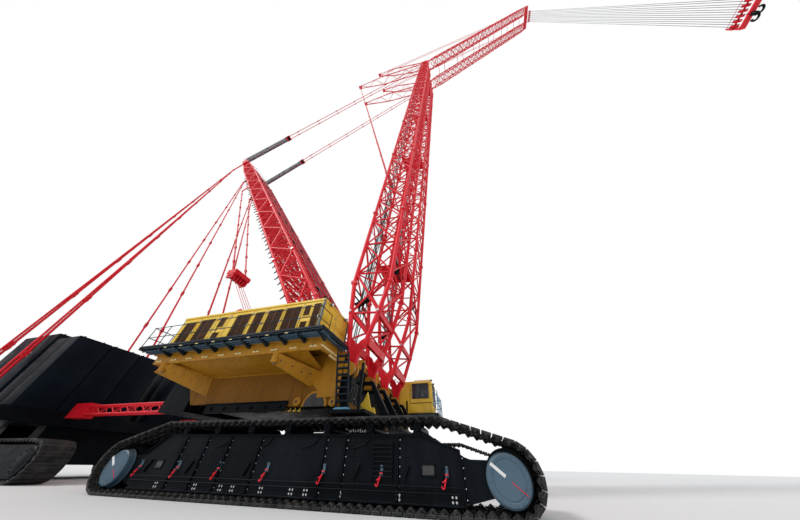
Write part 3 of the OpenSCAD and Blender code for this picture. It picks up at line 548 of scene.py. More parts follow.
def run_of(name, lines, d, finish, body="superstructure", smooth=True):
    """Hoses, cables or ropes along lists of points, as one curve piece."""
    curve = bpy.data.curves.new(name, "CURVE")
    curve.dimensions = "3D"
    curve.bevel_depth = d / 2 / MM_IN_METRE
    curve.bevel_resolution = 2
    curve.resolution_u = 8
    curve.use_fill_caps = True
    for line in lines:
        spline = curve.splines.new("BEZIER" if smooth else "POLY")
        points = spline.bezier_points if smooth else spline.points
        points.add(len(line) - 1)
        for point, place in zip(points, line):
            place = Vector(place) / MM_IN_METRE
            point.co = place if smooth else (*place, 1)
            if smooth:
                point.handle_left_type = point.handle_right_type = "AUTO"
    curve.materials.append(FINISH[finish])
    enlist(name, curve, body)


# Crawlers

# track loop: half distance and radius of its end wheels and of its top rollers, and its height
CRANE_LOOP, CARRIER_LOOP = (738, 82, 545, 45, 222), (564, 86, 504, 60, 178)
CRANE_SHOES, SHOE_W, TRACK_Y, RIDGE_REACH = 116, 199, 530, 24
CARRIER_SHOES, CARRIER_SHOE_W, CARRIER_X, CARRIER_Y = 88, 139, -2100, 490
COVER_X, COVER_Z = CRANE_LOOP[0] - 4, 76
# outer crawler plates: face, rails and rungs, hooks, seams, bolt groups and raised panels
FACE, RAIL_Y, RAIL_ZS, RUNG_Y, RUNG_XS = 613, 621, (44, 56), 619, (346, 407)
HOOK_XS = (-634, -440, -248, -44, 171, 366, 562)
SEAM_XS = (-460, -350, -240, -100, 165, 240, 422, 610)
CLUSTER_XS = (-501, -317, -204, -154, -39, 75, 127, 241, 426, 585)
PANEL_XS = ((-552, -470), (-452, -360), (-340, -250), (-230, -110), (-88, 30), (50, 155), (250, 335),
            (430, 484))
# bars of a lashing hook: both ends from its place, diameter, sides and, where it tapers, end diameter
STRAP_BARS = (((8.5, 617, 98), (8.5, 621, 98), 5, 12), ((8, 618, 84), (6, 620, 76), 3.4, 10))
HOOK_BARS = (((3, 618, 82), (13, 618, 82), 4.2, 12), ((6, 620, 75), (3, 621, 67), 5, 12),
             ((3, 621, 67), (1, 622, 60), 3.8, 12), ((1, 622, 60), (-1, 622, 54), 5, 12, 4),
             ((-1, 622, 54), (-6, 622, 54), 4, 12, 3.4), ((-6, 622, 54), (-8, 621, 60), 3.4, 12, 2),
             ((5, 621, 72), (-5, 621, 66), 3, 10))


def track_loop(xa, ra, xb, rb, height):
    """Half the length of a track loop, and a function that gives the place along it."""
    d = math.hypot(xb - xa, height - rb - ra)
    a = math.atan2(height - rb - ra, xb - xa) - math.acos((ra - rb) / d)
    marks = [xa]
    for length in (ra * (a + math.pi / 2), math.sqrt(d * d - (ra - rb) ** 2), rb * (math.pi / 2 - a)):
        marks.append(marks[-1] + length)

    def at(s):
        """X, Z and outward angle, s from the middle of the bottom run."""
        if s <= marks[0]:
            return s, 0, -math.pi / 2
        if s <= marks[1]:
            t = (s - marks[0]) / ra - math.pi / 2
            return xa + ra * math.cos(t), ra + ra * math.sin(t), t
        if s <= marks[2]:
            q = s - marks[1]
            return xa + ra * math.cos(a) - q * math.sin(a), ra + ra * math.sin(a) + q * math.cos(a), a
        if s <= marks[3]:
            t = a + (s - marks[2]) / rb
            return xb + rb * math.cos(t), height - rb + rb * math.sin(t), t
        return xb - (s - marks[3]), height, math.pi / 2
    return marks[3] + xb, at


def track_chain(name, node, body, loop, middle, y, count, width, side=0):
    """Cast shoes with a ridge at each end, pin lugs that mesh with the next shoe, and an outer step."""
    half_loop, at = track_loop(*loop)
    pitch = 2 * half_loop / count
    shoe = Shape()
    half, w = pitch / 2 - 1.5, width / 2
    if side:
        end = span(side, w - 4, w + RIDGE_REACH)
        shoe.box(-half, half, *end, -8.6, -2.2, 1.0)
        shoe.plate([(-4.5, -8), (-1.6, -13.5), (1.6, -13.5), (4.5, -8)], *end, 0.6)
    shoe.box(-half, half, -w, w, -9, -3.4, 1.0)
    for x in (4 - half, half - 4):
        shoe.box(x - 2.6, x + 2.6, 4 - w, w - 4, -4.4, -1.3, 0.8)
    for s in SIDES:
        shoe.plate([(0.6 - half, -8.4), (-1.8, -17.4), (1.8, -17.4), (half - 0.6, -8.4)],
                   *span(s, w - 0.8, w - 26), 0.7)
    for part, s in ((-0.5, -1), (-0.18, 1), (0.18, -1), (0.5, 1)):
        lug, reach = part * w, s * pitch / 2
        shoe.box(*span(s, 0, pitch / 2), lug - 8, lug + 8, -15, -6, 0.8)
        shoe.rod((reach, lug - 11, -11), (reach, lug + 11, -11), 6, 8)
    places = []
    for i in range(count):
        s = (i + 0.5) * pitch
        x, z, t = at(min(s, 2 * half_loop - s))
        if s > half_loop:
            x, t = -x, math.pi - t
        places.append(moved(middle + x, y, z) @ Matrix.Rotation(math.pi / 2 - t, 4, "Y"))
    chain = Shape(body=body)
    chain.repeat(shoe, places)
    chain.done(name, "shoes", hides=(node,))


def crane_tracks():
    """Shoes of both crawlers."""
    for name, s in (("right", -1), ("left", 1)):
        track_chain("shoes_" + name, "track_" + name, "undercarriage",
                    CRANE_LOOP, 0, s * TRACK_Y, CRANE_SHOES, SHOE_W, s)


def end_covers():
    """Round covers of the track's end wheels with a rim of bolts, a white pointer and a red line."""
    plate, marks, line = shapes(3, body="undercarriage")
    profile = [(0.01, 638.2), (38, 638.2), (39, 637), (41, 637), (42, 638.2), (50, 638.2), (53.5, 635.6),
               (53.5, 614), (57, 613), (57, 612.2)]
    for s in SIDES:
        for x in (-COVER_X, COVER_X):
            plate.turned(profile, x, COVER_Z, 56, s)
            plate.bolt_ring(16, 47, x, COVER_Z, s * 638, s, 3.2, 1.5, 4)
            slant = moved(x, 0, COVER_Z) @ turned_by(38, "Y")
            marks.box(-52, -10, *span(s, 637.4, 639.8), -4, 4, 0.5, local=slant)
            line.box(6, 47, *span(s, 637, 639.1), -0.8, 0.8, 0.2, local=slant)
    plate.done("end_cover_plates", "slate", hides=("wheel_covers",))
    marks.done("end_cover_pointers", "mark_white", slot="slate_paint")
    line.done("end_cover_lines", "red")


def facing(shape, s, x0, x1, out, z0, z1, soft=0.5, local=None):
    """A block on the face of an outer crawler plate, that stands out this far."""
    shape.box(x0, x1, *span(s, FACE, out), z0, z1, soft, local=local)


def hatch(skin, dark, s, x0, x1, z0, z1):
    """A raised frame round a dark plate that paints the shade in the hatch's opening."""
    w = 3.4
    # dark plate: painted shade inside the hatch's opening
    facing(dark, s, x0 + 3, x1 - 3, 614.8, z0 + 3, z1 - 3, 0.2)
    for a, b, low, high in ((x0, x1, z0, z0 + w), (x0, x1, z1 - w, z1), (x0, x0 + w, z0, z1),
                            (x1 - w, x1, z0, z1)):
        facing(skin, s, a, b, 617, low, high, 0.6)


def crawler_skins(skin, dark, bolts):
    """Skin, flanges, bolted joints, raised panels and hatches of the outer crawler plates."""
    for s in SIDES:
        skin.plate([(-640, 19), (615, 19), (615, 136), (495, 171.5), (-559, 180), (-640, 118)],
                   *span(s, 611.8, 613.6))
        skin.plate([(-640, 19), (615, 19), (615, 23), (-640, 23)], *span(s, FACE, 618), 0.6)
        for x0, z0, x1, z1 in ((-559, 180, 495, 171.5), (495, 171.5, 615, 136), (-640, 118, -559, 180)):
            flange = ((x0, 611, z0), (x1, 611, z1), (x1, 621, z1), (x0, 621, z0))
            skin.sheet([(x, s * y, z - 0.6) for x, y, z in flange], 2.6, 0.4)
        for x in SEAM_XS:
            top = 171 if x < 500 else 136
            facing(skin, s, x - 4.6, x - 0.7, 619, 22, top)
            facing(skin, s, x + 0.7, x + 4.6, 619, 22, top)
            for z in range(34, top - 8, 21):
                bolts.bolt((x + 9, s * 613.6, z), (0, s, 0), 2.0, 1.1)
        for x0, x1 in PANEL_XS:
            facing(skin, s, x0 + 6, x1 - 6, 614.6, 118, 160, 0.6)
        facing(skin, s, RUNG_XS[0] - 3, RUNG_XS[1] + 3, 615.4, 64, 158, 0.8)
        for x in CLUSTER_XS:
            for dx in (-5, 5):
                for z in (28.5, 38):
                    bolts.bolt((x + dx, s * 613.8, z), (0, s, 0), 3.8, 1.5)
        hatch(skin, dark, s, 496, 538, 77, 105)
        hatch(skin, dark, s, -558, -518, 76, 102)


def crawler_rails(rail):
    """Rails on pegs, rungs, slanted brackets and kinked bars on the outer crawler plates."""
    pegs = [(x, z, RAIL_Y) for z in RAIL_ZS for x in range(-620, 600, 70)]
    pegs += [(x, z, RUNG_Y) for x in RUNG_XS for z in (70, 112, 152)]
    for s in SIDES:
        for x, z, out in pegs:
            rail.rod((x, s * 612, z), (x, s * out, z), 3, 8)
        for z in RAIL_ZS:
            rail.rod((-636, s * RAIL_Y, z), (604, s * RAIL_Y, z), 3.4, 10)
        for x in RUNG_XS:
            rail.rod((x, s * RUNG_Y, 66), (x, s * RUNG_Y, 156), 3.6, 10)
        for z in range(74, 156, 11):
            rail.rod((RUNG_XS[0], s * RUNG_Y, z), (RUNG_XS[1], s * RUNG_Y, z), 3.2, 10)
        for x in (292, 452, 560, -120, -380, -590):
            facing(rail, s, -2.5, 2.5, 620, -20, 20, 0.6, moved(x, 0, 84) @ turned_by(24, "Y"))
        for x in range(-300, 460, 190):
            rail.path([(x, s * 616, 138), (x + 46, s * 617, 150), (x + 60, s * 616, 168)], 4, 10)


def lashing_hooks(hooks, straps):
    """Hooks that lie back on the rails, each on its shackle and strap."""
    for s in SIDES:
        for x in HOOK_XS:
            straps.box(x + 4, x + 13, *span(s, 613.4, 617), 76, 100, 0.8)
            for shape, bars in ((straps, STRAP_BARS), (hooks, HOOK_BARS)):
                for a, b, *sizes in bars:
                    shape.rod((x + a[0], s * a[1], a[2]), (x + b[0], s * b[1], b[2]), *sizes)


def crawler_plate_work():
    """Everything on the outer plates of both crawlers."""
    skin, rail, dark, hooks, straps, bolts = shapes(6, body="undercarriage")
    crawler_skins(skin, dark, bolts)
    crawler_rails(rail)
    lashing_hooks(hooks, straps)
    skin.done("crawler_skin_plates", "black")
    rail.done("crawler_rails", "black", hides=("crawler_fittings",))
    dark.done("crawler_hatch_painted_shade", "hose", slot="black_paint")
    hooks.done("lashing_hooks", "red")
    straps.done("hook_straps", "slate")
    bolts.done("crawler_bolts", "bright")


def roller_faces():
    """Flanges and bosses of the upper rollers where they show between plates and shoes."""
    shape = Shape(body="undercarriage")
    count, reach, z = 7, 485, 194
    for s in SIDES:
        for i in range(count):
            x = -reach + i * 2 * reach / (count - 1)
            shape.turned([(0.01, 618), (5, 618), (7, 616), (13, 616), (14, 614.5), (14, 612.2)], x, z, 24, s)
            shape.rod((x, s * 612, z), (x, s * 620, z), 6, 12)
            shape.plate([(x - 16, 172), (x + 16, 172), (x + 9, 190), (x - 9, 190)], *span(s, 606, 611), 0.8)
    shape.done("roller_bosses", "black")


# Superstructure

# deck height, house length and height, distance of the outer and inner house walls from the middle
DECK, HOUSE_L, HOUSE_H, HOUSE_Y, HOUSE_I = 555, 980, 207, 610, 330
# heights against the deck: cab's platform, and lower edge of the beam round the deck
PLATFORM_LOW, PLATFORM_TOP, BEAM_LOW = 373 - DECK, 385 - DECK, -66
# walkways: rear and front end, outer edge at the sides, and inner edge of the strips in front
WALK_REAR, WALK_FRONT, WALK_OUT, FRONT_WALK_Y = -1050, 88, HOUSE_Y + 80, 424
ON_DECK = moved(0, 0, DECK)
# openings in the near house: start and width as parts of its length, low and high edge of its height
LOUVRES = (
    (0.03, 0.09, 0.16, 0.84), (0.15, 0.11, 0.12, 0.86), (0.30, 0.05, 0.56, 0.86), (0.30, 0.05, 0.12, 0.40),
    (0.42, 0.11, 0.14, 0.86), (0.555, 0.065, 0.12, 0.86), (0.645, 0.10, 0.14, 0.86),
    (0.765, 0.10, 0.14, 0.86), (0.885, 0.04, 0.56, 0.86), (0.885, 0.04, 0.12, 0.40),
    (0.94, 0.045, 0.12, 0.88))
DOOR_CUTS = (0.0, 0.135, 0.28, 0.372, 0.533, 0.632, 0.755, 0.875, 0.99)
# distance of the hull's sides from the middle
HULL_Y = 400


def louvre_banks():
    """Frames and slanted blades in the openings of the near house."""
    frames, blades = shapes(2, ON_DECK)
    y = -HOUSE_Y
    for start, width, low, high in LOUVRES:
        x0 = (start - 1) * HOUSE_L
        x1 = x0 + width * HOUSE_L
        z0, z1 = low * HOUSE_H, high * HOUSE_H
        for a, b, c, d in ((x0 - 4, x1 + 4, z0 - 4, z0), (x0 - 4, x1 + 4, z1, z1 + 4), (x0 - 4, x0, z0, z1),
                           (x1, x1 + 4, z0, z1)):
            frames.box(a, b, y - 3, y + 1, c, d, 0.5)
        count = max(4, round((z1 - z0) / 10))
        for i in range(count):
            tilt = moved(0, y + 2.5, z0 + (i + 0.5) * (z1 - z0) / count) @ turned_by(-38, "X")
            blades.box(x0 + 0.5, x1 - 0.5, -5.5, 5.5, -0.6, 0.6, 0.25, local=tilt)
        blades.box(x0 + 0.2, x1 - 0.2, y + 5.5, y + 7, z0 + 0.2, z1 - 0.2, 0)
        if width > 0.07:
            middle = (x0 + x1) / 2
            blades.box(middle - 1.2, middle + 1.2, y - 2.0, y + 1, z0, z1, 0.3)
    blades.done("louvre_blades", "brown", hides=("louvres",))
    frames.done("louvre_frames", "yellow")


def near_house_doors(seam, metal):
    """Seams, hinges, latches and knobs of the doors on the outer side of the near house."""
    y, top = -HOUSE_Y, HOUSE_H
    cuts = [(part - 1) * HOUSE_L for part in DOOR_CUTS]
    for a, b in zip(cuts, cuts[1:]):
        seam.box(a - 0.9, a + 0.9, y - 1.2, y + 0.5, 8, top - 10, 0.3)
        for z in (34, top - 34):
            metal.rod((a + 4, y - 2.5, z - 7), (a + 4, y - 2.5, z + 7), 4, 10)
            metal.box(a + 4, a + 11, y - 1.6, y + 0.5, z - 6, z + 6, 0.3)
        metal.box(b - 10, b - 5, y - 3.6, y + 0.5, 96, 112, 0.7)
        metal.rod((b - 7.5, y - 1, 104), (b - 7.5, y - 5, 104), 4, 10)


def roof_work(trim, metal, seam):
    """Edges of both roofs, lifting eyes, and vents with their slats."""
    top = HOUSE_H
    for s, x0, x1 in ((-1, -984, 4), (1, -984, -156)):
        for a, b in ((HOUSE_Y, HOUSE_Y + 4), (HOUSE_I - 4, HOUSE_I)):
            trim.box(x0, x1, *span(s, a - 1, b + 1), top - 9, top + 2.5, 1.0)
        for x in (x0, x1 - 5):
            trim.box(x, x + 5, *span(s, HOUSE_I, HOUSE_Y), top - 9, top + 2.5, 1.0)
        for x in (x0 + 60, (x0 + x1) / 2, x1 - 60):
            for y in (s * (HOUSE_I + 24), s * (HOUSE_Y - 24)):
                metal.plate([(x - 9, top), (x - 6, top + 13), (x + 6, top + 13), (x + 9, top)],
                            y - 2, y + 2, 0.5)
        for x in range(x0 + 110, x1 - 90, 150):
            trim.box(x, x + 92, *span(s, 360, 580), top, top + 4, 1.2)
            for y in range(380, 571, 14):
                seam.box(x + 8, x + 84, *span(s, y, y + 5), top + 3.6, top + 5.6, 0.4)


def front_panels(skin, metal):
    """Two by two raised panels with handles and hinges on the front of the near house."""
    middle = -(HOUSE_I + HOUSE_Y) / 2
    for y0, y1 in ((-HOUSE_Y + 12, middle - 5), (middle + 5, -HOUSE_I - 10)):
        for z0, z1 in ((10, 98), (110, HOUSE_H - 14)):
            z = (z0 + z1) / 2
            skin.box(-1, 3.4, y0, y1, z0, z1, 1.4, 2)
            skin.box(3, 4.6, y0 + 10, y1 - 10, z0 + 9, z1 - 9, 0.8)
            metal.box(3, 7.4, y1 - 9, y1 - 5, z - 8, z + 8, 0.6)
            for z in (z0 + 12, z1 - 12):
                metal.rod((4, y0 + 3, z - 5), (4, y0 + 3, z + 5), 3.4, 10)


def far_house_doors(skin, metal, seam):
    """Plain doors with a handle and slats on the outer side of the far house."""
    y = HOUSE_Y
    for x in range(-860, -200, 160):
        skin.box(x + 6, x + 104, y + 2, y + 4.6, 36, HOUSE_H - 36, 1.0, 2)
        metal.box(x + 96, x + 101, y + 4, y + 8, 92, 110, 0.7)
        for z in range(118, 158, 5):
            seam.box(x + 20, x + 84, y + 4, y + 6, z, z + 2.4, 0.3)


def house_panels():
    """Doors, seams, hinges, handles, roof edges and front panels of both houses."""
    skin, seam, trim, metal = shapes(4, ON_DECK)
    near_house_doors(seam, metal)
    roof_work(trim, metal, seam)
    front_panels(skin, metal)
    far_house_doors(skin, metal, seam)
    skin.done("house_front_panels", "yellow")
    seam.done("house_seams", "brown")
    trim.done("house_roof_edges", "yellow")
    metal.done("house_hinges_and_handles", "steel")


def house_posts():
    """Grey corner posts and front trim of the near house, and its work lamps."""
    post, lens = shapes(2, ON_DECK)
    top = HOUSE_H
    for y in (-HOUSE_Y - 1, -HOUSE_I + 1):
        post.box(-4, 5, y - 4, y + 4, 1, top - 2, 1.0)
    post.box(0, 4.6, -HOUSE_Y, -HOUSE_I, 1, 8, 0.8)
    for y in (-560, -380):
        post.box(3, 12, y - 3, y + 3, top - 12, top - 6, 0.6)
        post.rod((10, y, top - 9), (21, y, top - 13), 15, 20, 19)
        lens.rod((20.5, y, top - 12.8), (22.4, y, top - 13.5), 16.4, 20, 15)
    post.done("house_corner_posts", "slate")
    lens.done("house_lamp_lenses", "lens", slot="glass")


def deck_work(deck):
    """Ochre deck with its perimeter beam, and the ceiling below it that slopes down to the hull."""
    deck.box(-1040, 50, -HOUSE_Y - 2, HOUSE_Y + 2, -15, 0, 1.5)
    deck.box(-1004, -984, -HOUSE_Y + 2, HOUSE_Y - 2, BEAM_LOW, -14, 4, 2)
    for s in SIDES:
        deck.box(-1004, 44, *span(s, HOUSE_Y - 24, HOUSE_Y - 1), BEAM_LOW, -14, 5, 2)
        deck.box(26, 46, *span(s, 430, HOUSE_Y - 2), BEAM_LOW + 4, -14, 4, 2)
        slope = ((-990, 592, -53), (-42, 592, -53), (-42, 416, -99), (-990, 416, -99))
        deck.sheet([(x, s * y, z) for x, y, z in slope], 4, 0.6)


def cab_platform(walk):
    """Platform round the cab, its hanger and its bracket."""
    z = PLATFORM_LOW
    walk.box(70, 430, 410, 646, z, PLATFORM_TOP, 1.0)
    walk.box(30, 90, 430, 496, z, -44, 1.0)
    walk.plate([(240, z + 1), (428, z + 1), (424, z - 35), (392, z - 43), (300, z - 21)], 430, 604, 1.0)


def walkway_strips(walk, bars):
    """Walkways round the houses: gratings, kick boards and brackets, and the bearers below."""
    rear, front, inner, outer = WALK_REAR, WALK_FRONT, HOUSE_Y + 3, WALK_OUT
    walk.box(rear, -1004, -outer, outer, -8, -0.5, 1.0)
    for s in SIDES:
        walk.box(rear, front, *span(s, inner, outer), -7, -1, 0.8)
        walk.box(48, front, *span(s, FRONT_WALK_Y, inner), -7, -1, 0.8)
        walk.box(rear, front, *span(s, outer - 3, outer), -11, 7, 0.6)
        walk.box(front - 3, front, *span(s, FRONT_WALK_Y, outer), -11, 7, 0.6)
        for y in (626, 645, 665):
            bars.box(-1046, 84, *span(s, y, y + 3.2), -18, -6, 0.4)
        for x in (58, 70):
            bars.box(x, x + 3, *span(s, FRONT_WALK_Y + 2, inner + 2), -18, -6, 0.4)
        for k in range(55):
            x = -1046 + k * 20.6
            walk.box(x - 1, x + 1, *span(s, inner, outer - 3), -12, -5, 0)
        for y in range(440, 600, 20):
            walk.box(52, 84, *span(s, y - 1, y + 1), -12, -5, 0)
        y0, y1 = s * (HOUSE_Y + 1), s * (outer - 3)
        for x in range(-903, 167, 107):
            walk.plate([(y0, -35), (y0, -10), (y1, -10), (y1, -14)], -x - 6, -x + 6, 0.8,
                       local=turned_by(90, "Z"))


def walkway_tabs(tabs, clamps):
    """Pale tabs on the deck's beam and the walkways' edges, their bolts, and clamps of the rails."""
    for s in SIDES:
        for x in range(-957, 113, 107):
            tabs.box(x - 19, x + 19, *span(s, HOUSE_Y - 1, HOUSE_Y + 6), -56, -49, 1.4)
            clamps.bolt((x, s * (HOUSE_Y + 6), -52.5), (0, s, 0), 3.4, 0.8)
        for x in range(-850, 6, 107):
            tabs.box(x - 9, x + 9, *span(s, WALK_OUT - 4, WALK_OUT - 0.4), -14, -7, 0.8)
        tabs.box(46, 53, *span(s, 440, HOUSE_Y + 2), -56, -48, 1.4)
        tabs.box(38, 46, *span(s, 452, 520), -70, -62, 1.2)
        y = s * (WALK_OUT - 4)
        for k in range(10):
            x = -1046 + k * 121.3
            for z in (57.5, 115):
                clamps.rod((x - 3, y, z), (x + 3, y, z), 6, 12)


def walkway_work():
    """The deck, the walkways round the houses and the platform round the cab."""
    walk, deck, bars, tabs, clamps = shapes(5, ON_DECK)
    walkway_strips(walk, bars)
    cab_platform(walk)
    deck_work(deck)
    walkway_tabs(tabs, clamps)
    walk.done("walkway_gratings", "teal", hides=("deck",))
    deck.done("deck_and_perimeter_beam", "ochre", hides=("deck",))
    bars.done("walkway_bearers", "blue_grey")
    tabs.done("walkway_tabs", "cream")
    clamps.done("walkway_clamps", "black")


# slanted brackets of the hull: outer and inner corners, upper and lower edge
BRACKETS = (((-178, 600, 489), (-208, 600, 448), (-95, 412, 382), (-48, 412, 450)),
            ((-866, 600, 493), (-958, 600, 455), (-735, 412, 366), (-762, 412, 466)))


def slanted_bracket(skin, dark, bolts, corners):
    """A deep bracket with holes through it, each filled by a dark plug that paints the shade in it, and a
    round foot with its bolt at the outer end.
    """
    a, b, c, d = corners
    skin.sheet(corners, 18, 2.5)
    way = (b - a).cross(c - a).normalized()
    for t, u in ((0.12, 0.5), (0.38, 0.45), (0.62, 0.5), (0.82, 0.35)):
        p = a.lerp(b, u).lerp(d.lerp(c, u), t)
        # dark plug: painted shade in the hole
        dark.rod(p - way * 9.6, p + way * 9.6, 8, 14)
    end, foot = (a + b) / 2, (a + b) / 2 - Vector((0, 0, 24))
    skin.rod(foot, end + Vector((0, 0, 26)), 34, 24)
    bolts.bolt(foot, (0, 0, -1), 9, 5)


def hull_lugs(bosses, dark, s):
    """An arch between two round lugs at the bottom in front; dark plates paint the shade in the arch's
    opening and in the lugs' bores.
    """
    y = HULL_Y
    bosses.plate(circle(18, 66, -44, 296, sweep=180), *span(s, y + 18, y + 25), 1.2)
    # dark half disc: painted shade in the arch's opening
    dark.plate(circle(18, 55, -44, 296, sweep=180), *span(s, y + 24, y + 26.5))
    for x, z in ((-139, 318), (53, 312)):
        bosses.turned([(0.01, 32), (9, 32), (10, 30), (17, 30), (20, 27), (20, 17)], x, z, 32, s, s * y)
        # dark disc: painted shade in the lug's bore
        dark.rod((x, s * (y + 31), z), (x, s * (y + 32.6), z), 12, 20)


def hull_lower_edges(under):
    """Black rails and pads along the bottom of the hull, and its underside."""
    y = HULL_Y
    under.box(-640, 60, -398, 398, 291, 299, 1.0)
    for s in SIDES:
        under.box(-690, -190, *span(s, y + 17, y + 27), 282, 322, 2.0)
        under.box(-690, -190, *span(s, y + 17, y + 34), 319, 324, 1.2)
        for x in range(-650, -146, 84):
            under.rod((x, s * (y + 22), 302), (x, s * (y + 33), 302), 16, 18)


def hull_work():
    """Side skins in ochre darkened as painted shade, slanted brackets, lugs, bolts, and holes of the main
    frame below the deck, which dark plugs paint as shade.
    """
    skin, wall, under, bosses, bolts, dark = shapes(6)
    hull_lower_edges(under)
    y = HULL_Y
    for s in SIDES:
        wall.plate([(-600, 300), (60, 300), (79, 330), (79, 505), (64, 540), (-1010, 540), (-1010, 462),
                    (-942, 457), (-882, 398), (-822, 327), (-617, 327)], *span(s, y - 1, y + 18), 1.2)
        skin.plate([(-40, 330), (62, 330), (80, 352), (80, 504), (65, 536), (-40, 536)],
                   *span(s, y + 18, y + 27), 2.5)
        skin.plate([(-180, 470), (-40, 360), (-40, 536), (-180, 536)], *span(s, y + 17, y + 21), 1.0)
        skin.box(-716, -150, *span(s, y + 16, y + 23), 452, 458, 1.4)
        for bracket in BRACKETS:
            slanted_bracket(skin, dark, bolts, [Vector((x, s * out, z)) for x, out, z in bracket])
        hull_lugs(bosses, dark, s)
        for x in range(-560, -180, 76):
            bolts.bolt((x, s * (y + 18), 312), (0, s, 0), 5, 3.2)
        # dark discs: painted shade in holes of the side walls
        for x, z in ((-240, 388), (-290, 372), (-620, 420), (-420, 404)):
            dark.rod((x, s * (y + 17), z), (x, s * (y + 18.6), z), 7, 14)
    for y in range(-390, 391, 60):
        for z in (352, 494):
            bolts.bolt((82.4, y, z), (1, 0, 0), 5, 3.2)
    skin.done("hull_brackets", "ochre")
    # the side walls take the ochre darkened as painted shade for the recess under the deck
    wall.done("hull_side_skins", "ochre_painted_deep_shade")
    under.done("hull_lower_edges", "black")
    bosses.done("hull_lugs_and_arches", "ochre")
    bolts.done("hull_bolts", "steel")
    dark.done("hull_holes_painted_shade", "hose")


def hull_front():
    """Black front plate of the frame under the boom feet, its darkness partly black paint and partly painted
    shade, its slanted beams and the yellow gussets.
    """
    front, gusset = shapes(2)
    # black plate over the frame's front wall: black paint and painted shade
    front.box(78, 82.5, -430, 430, 330, DECK - 48, 1.0)
    front.box(60, 230, -450, 450, 262, 276, 1.5)
    for s in SIDES:
        for y in (300, 118):
            slant = ((176, 424), (200, 418), (288, 276), (250, 276))
            front.sheet([(x, s * y, z) for x, z in slant], 22, 1.5)
            front.box(80, 200, *span(s, y - 8, y + 8), 404, 420, 1.5)
        front.plate([(84, 276), (118, 276), (128, 438), (82, 446)], *span(s, 396, 412), 1.5)
        front.box(186, 198, *span(s, 434, 446), 270, 470, 1.2)
        gusset.plate([(140, 276), (232, 276), (224, 300), (206, 300), (184, 366), (168, 330), (150, 312)],
                     *span(s, 322, 334), 1.2)
    front.done("front_black_beams_and_shade_plate", "black")
    gusset.done("front_yellow_gussets", "yellow")


def hull_lines():
    """A row of valves under the hull, and the hoses in front of it and along it."""
    valves, lines = Shape(), []
    for s in SIDES:
        for x in range(-230, -100, 26):
            valves.rod((x, s * 396, 284), (x, s * 412, 284), 9, 14)
            valves.rod((x, s * 404, 284), (x, s * 404, 297), 6, 12)
        for k in range(4):
            lines.append([(90, s * (405 - 12 * k), 440 - 12 * k), (128 + 8 * k, s * (400 - 10 * k), 380),
                          (120 + 14 * k, s * (404 - 8 * k), 320), (150 + 16 * k, s * (398 - 9 * k), 272)])
        lines.append([(-230, s * 404, 292), (-330, s * 410, 280), (-430, s * 404, 286), (-520, s * 402, 292)])
    valves.done("hull_valves", "yellow")
    run_of("hull_hoses", lines, 5, "hose")


def slew_ring():
    """Bolt rings and teeth between the upper and lower frames."""
    upper = Shape()
    teeth, bolts = shapes(2, body="undercarriage")
    for k in range(96):
        teeth.box(177, 184, -3, 3, 224, 240, 0.6, local=turned_by(360 * k / 96, "Z"))
    for x, y in circle(48, 190):
        bolts.bolt((x, y, 220), (0, 0, 1), 7, 4)
    for x, y in circle(48, 176, start=3.75):
        upper.bolt((x, y, 262), (x / 176, y / 176, 0), 6, 3.5)
    teeth.done("slew_ring_teeth", "steel")
    bolts.done("slew_ring_bolts", "bright")
    upper.done("upper_ring_bolts", "bright")


def ladder_work():
    """Dark stringers and treads of the access ladder, with pale blue rungs at its foot."""
    rail, treads, foot = shapes(3)
    a, b, treads_in_all = Vector((0, -514, 496)), Vector((0, -436, 270)), 9
    for x in (84, 142):
        rail.rod((x, a.y, a.z), (x, b.y, b.z), 9, 12)
        rail.rod((x, a.y, a.z), (min(x, 87), a.y - 4, DECK - 6), 7, 12)
    for i in range(treads_in_all):
        p = a.lerp(b, (i + 0.5) / treads_in_all)
        step = foot if i == treads_in_all - 1 else rail
        step.box(84, 142, p.y - 9, p.y + 9, p.z - 3, p.z + 3, 0.8)
        treads.box(88, 138, p.y - 8, p.y + 8, p.z + 2.8, p.z + 4, 0)
    foot.box(76, 150, b.y - 14, b.y + 10, 277, 283, 1.2)
    rail.done("ladder_rails", "teal", hides=("ladder",))
    treads.done("ladder_treads", "black")
    foot.done("ladder_foot_rungs", "blue")


# Booms, jibs, struts and mast

BOOM_Y, BOOM_W, BOOM_H, BOOM_L, HEAD_D = 262, 276, 260, 9400, 130
JIB_W, JIB_L, MAST_W, MAST_H, MAST_L = 236, 8000, 570, 200, 5600
BOTH_BOOMS = (-BOOM_Y, BOOM_Y)
MAST_HEAD, STAY_Y = Vector((-3400.0, 0, 5142.4)), 300
LUFFING_X, LUFFING_Z, LUFFING_EYE_Z = -1750, 1678, 1720
PENDANT_XS, PENDANT_FOOT_Z = (-2135, -2515), 336
# joints of the chords: body, place, where they are, middles across, half width and depth, chord
JOINTS = (
    ("boom", BOOM, (1330, 2550, 3770, 4990, 6210, 7430, 8500), BOTH_BOOMS, BOOM_W / 2, BOOM_H / 2, 28),
    ("jib", JIB, (1350, 2600, 3850, 5100, 6350), BOTH_BOOMS, JIB_W / 2, JIB_W / 2, 24),
    ("mast", MAST, (1250, 2500, 3750), (0,), MAST_W / 2, MAST_H / 2, 28))
# lacing: body, place, middles across, half width, full depth with the depths and lengths of both tapers,
# start and end of the laced part, chord, then bays, tube and spreader of the thick and the thin set
LATTICES = (
    ("boom", BOOM, BOTH_BOOMS, BOOM_W / 2, (BOOM_H, 60, 190, 550, 500), 330, BOOM_L - HEAD_D, 28,
     (30, 16.5, 12), (30, 12.5, 0)),
    ("jib", JIB, BOTH_BOOMS, JIB_W / 2, (JIB_W, 60, 60, 500, 700), 100, JIB_L - 230, 24,
     (28, 14, 10), (28, 10, 0)),
    ("mast", MAST, (0,), MAST_W / 2, (MAST_H, 30, 130, 500, 500), 190, MAST_L - 100, 28,
     (20, 18, 15), (40, 11, 11)))


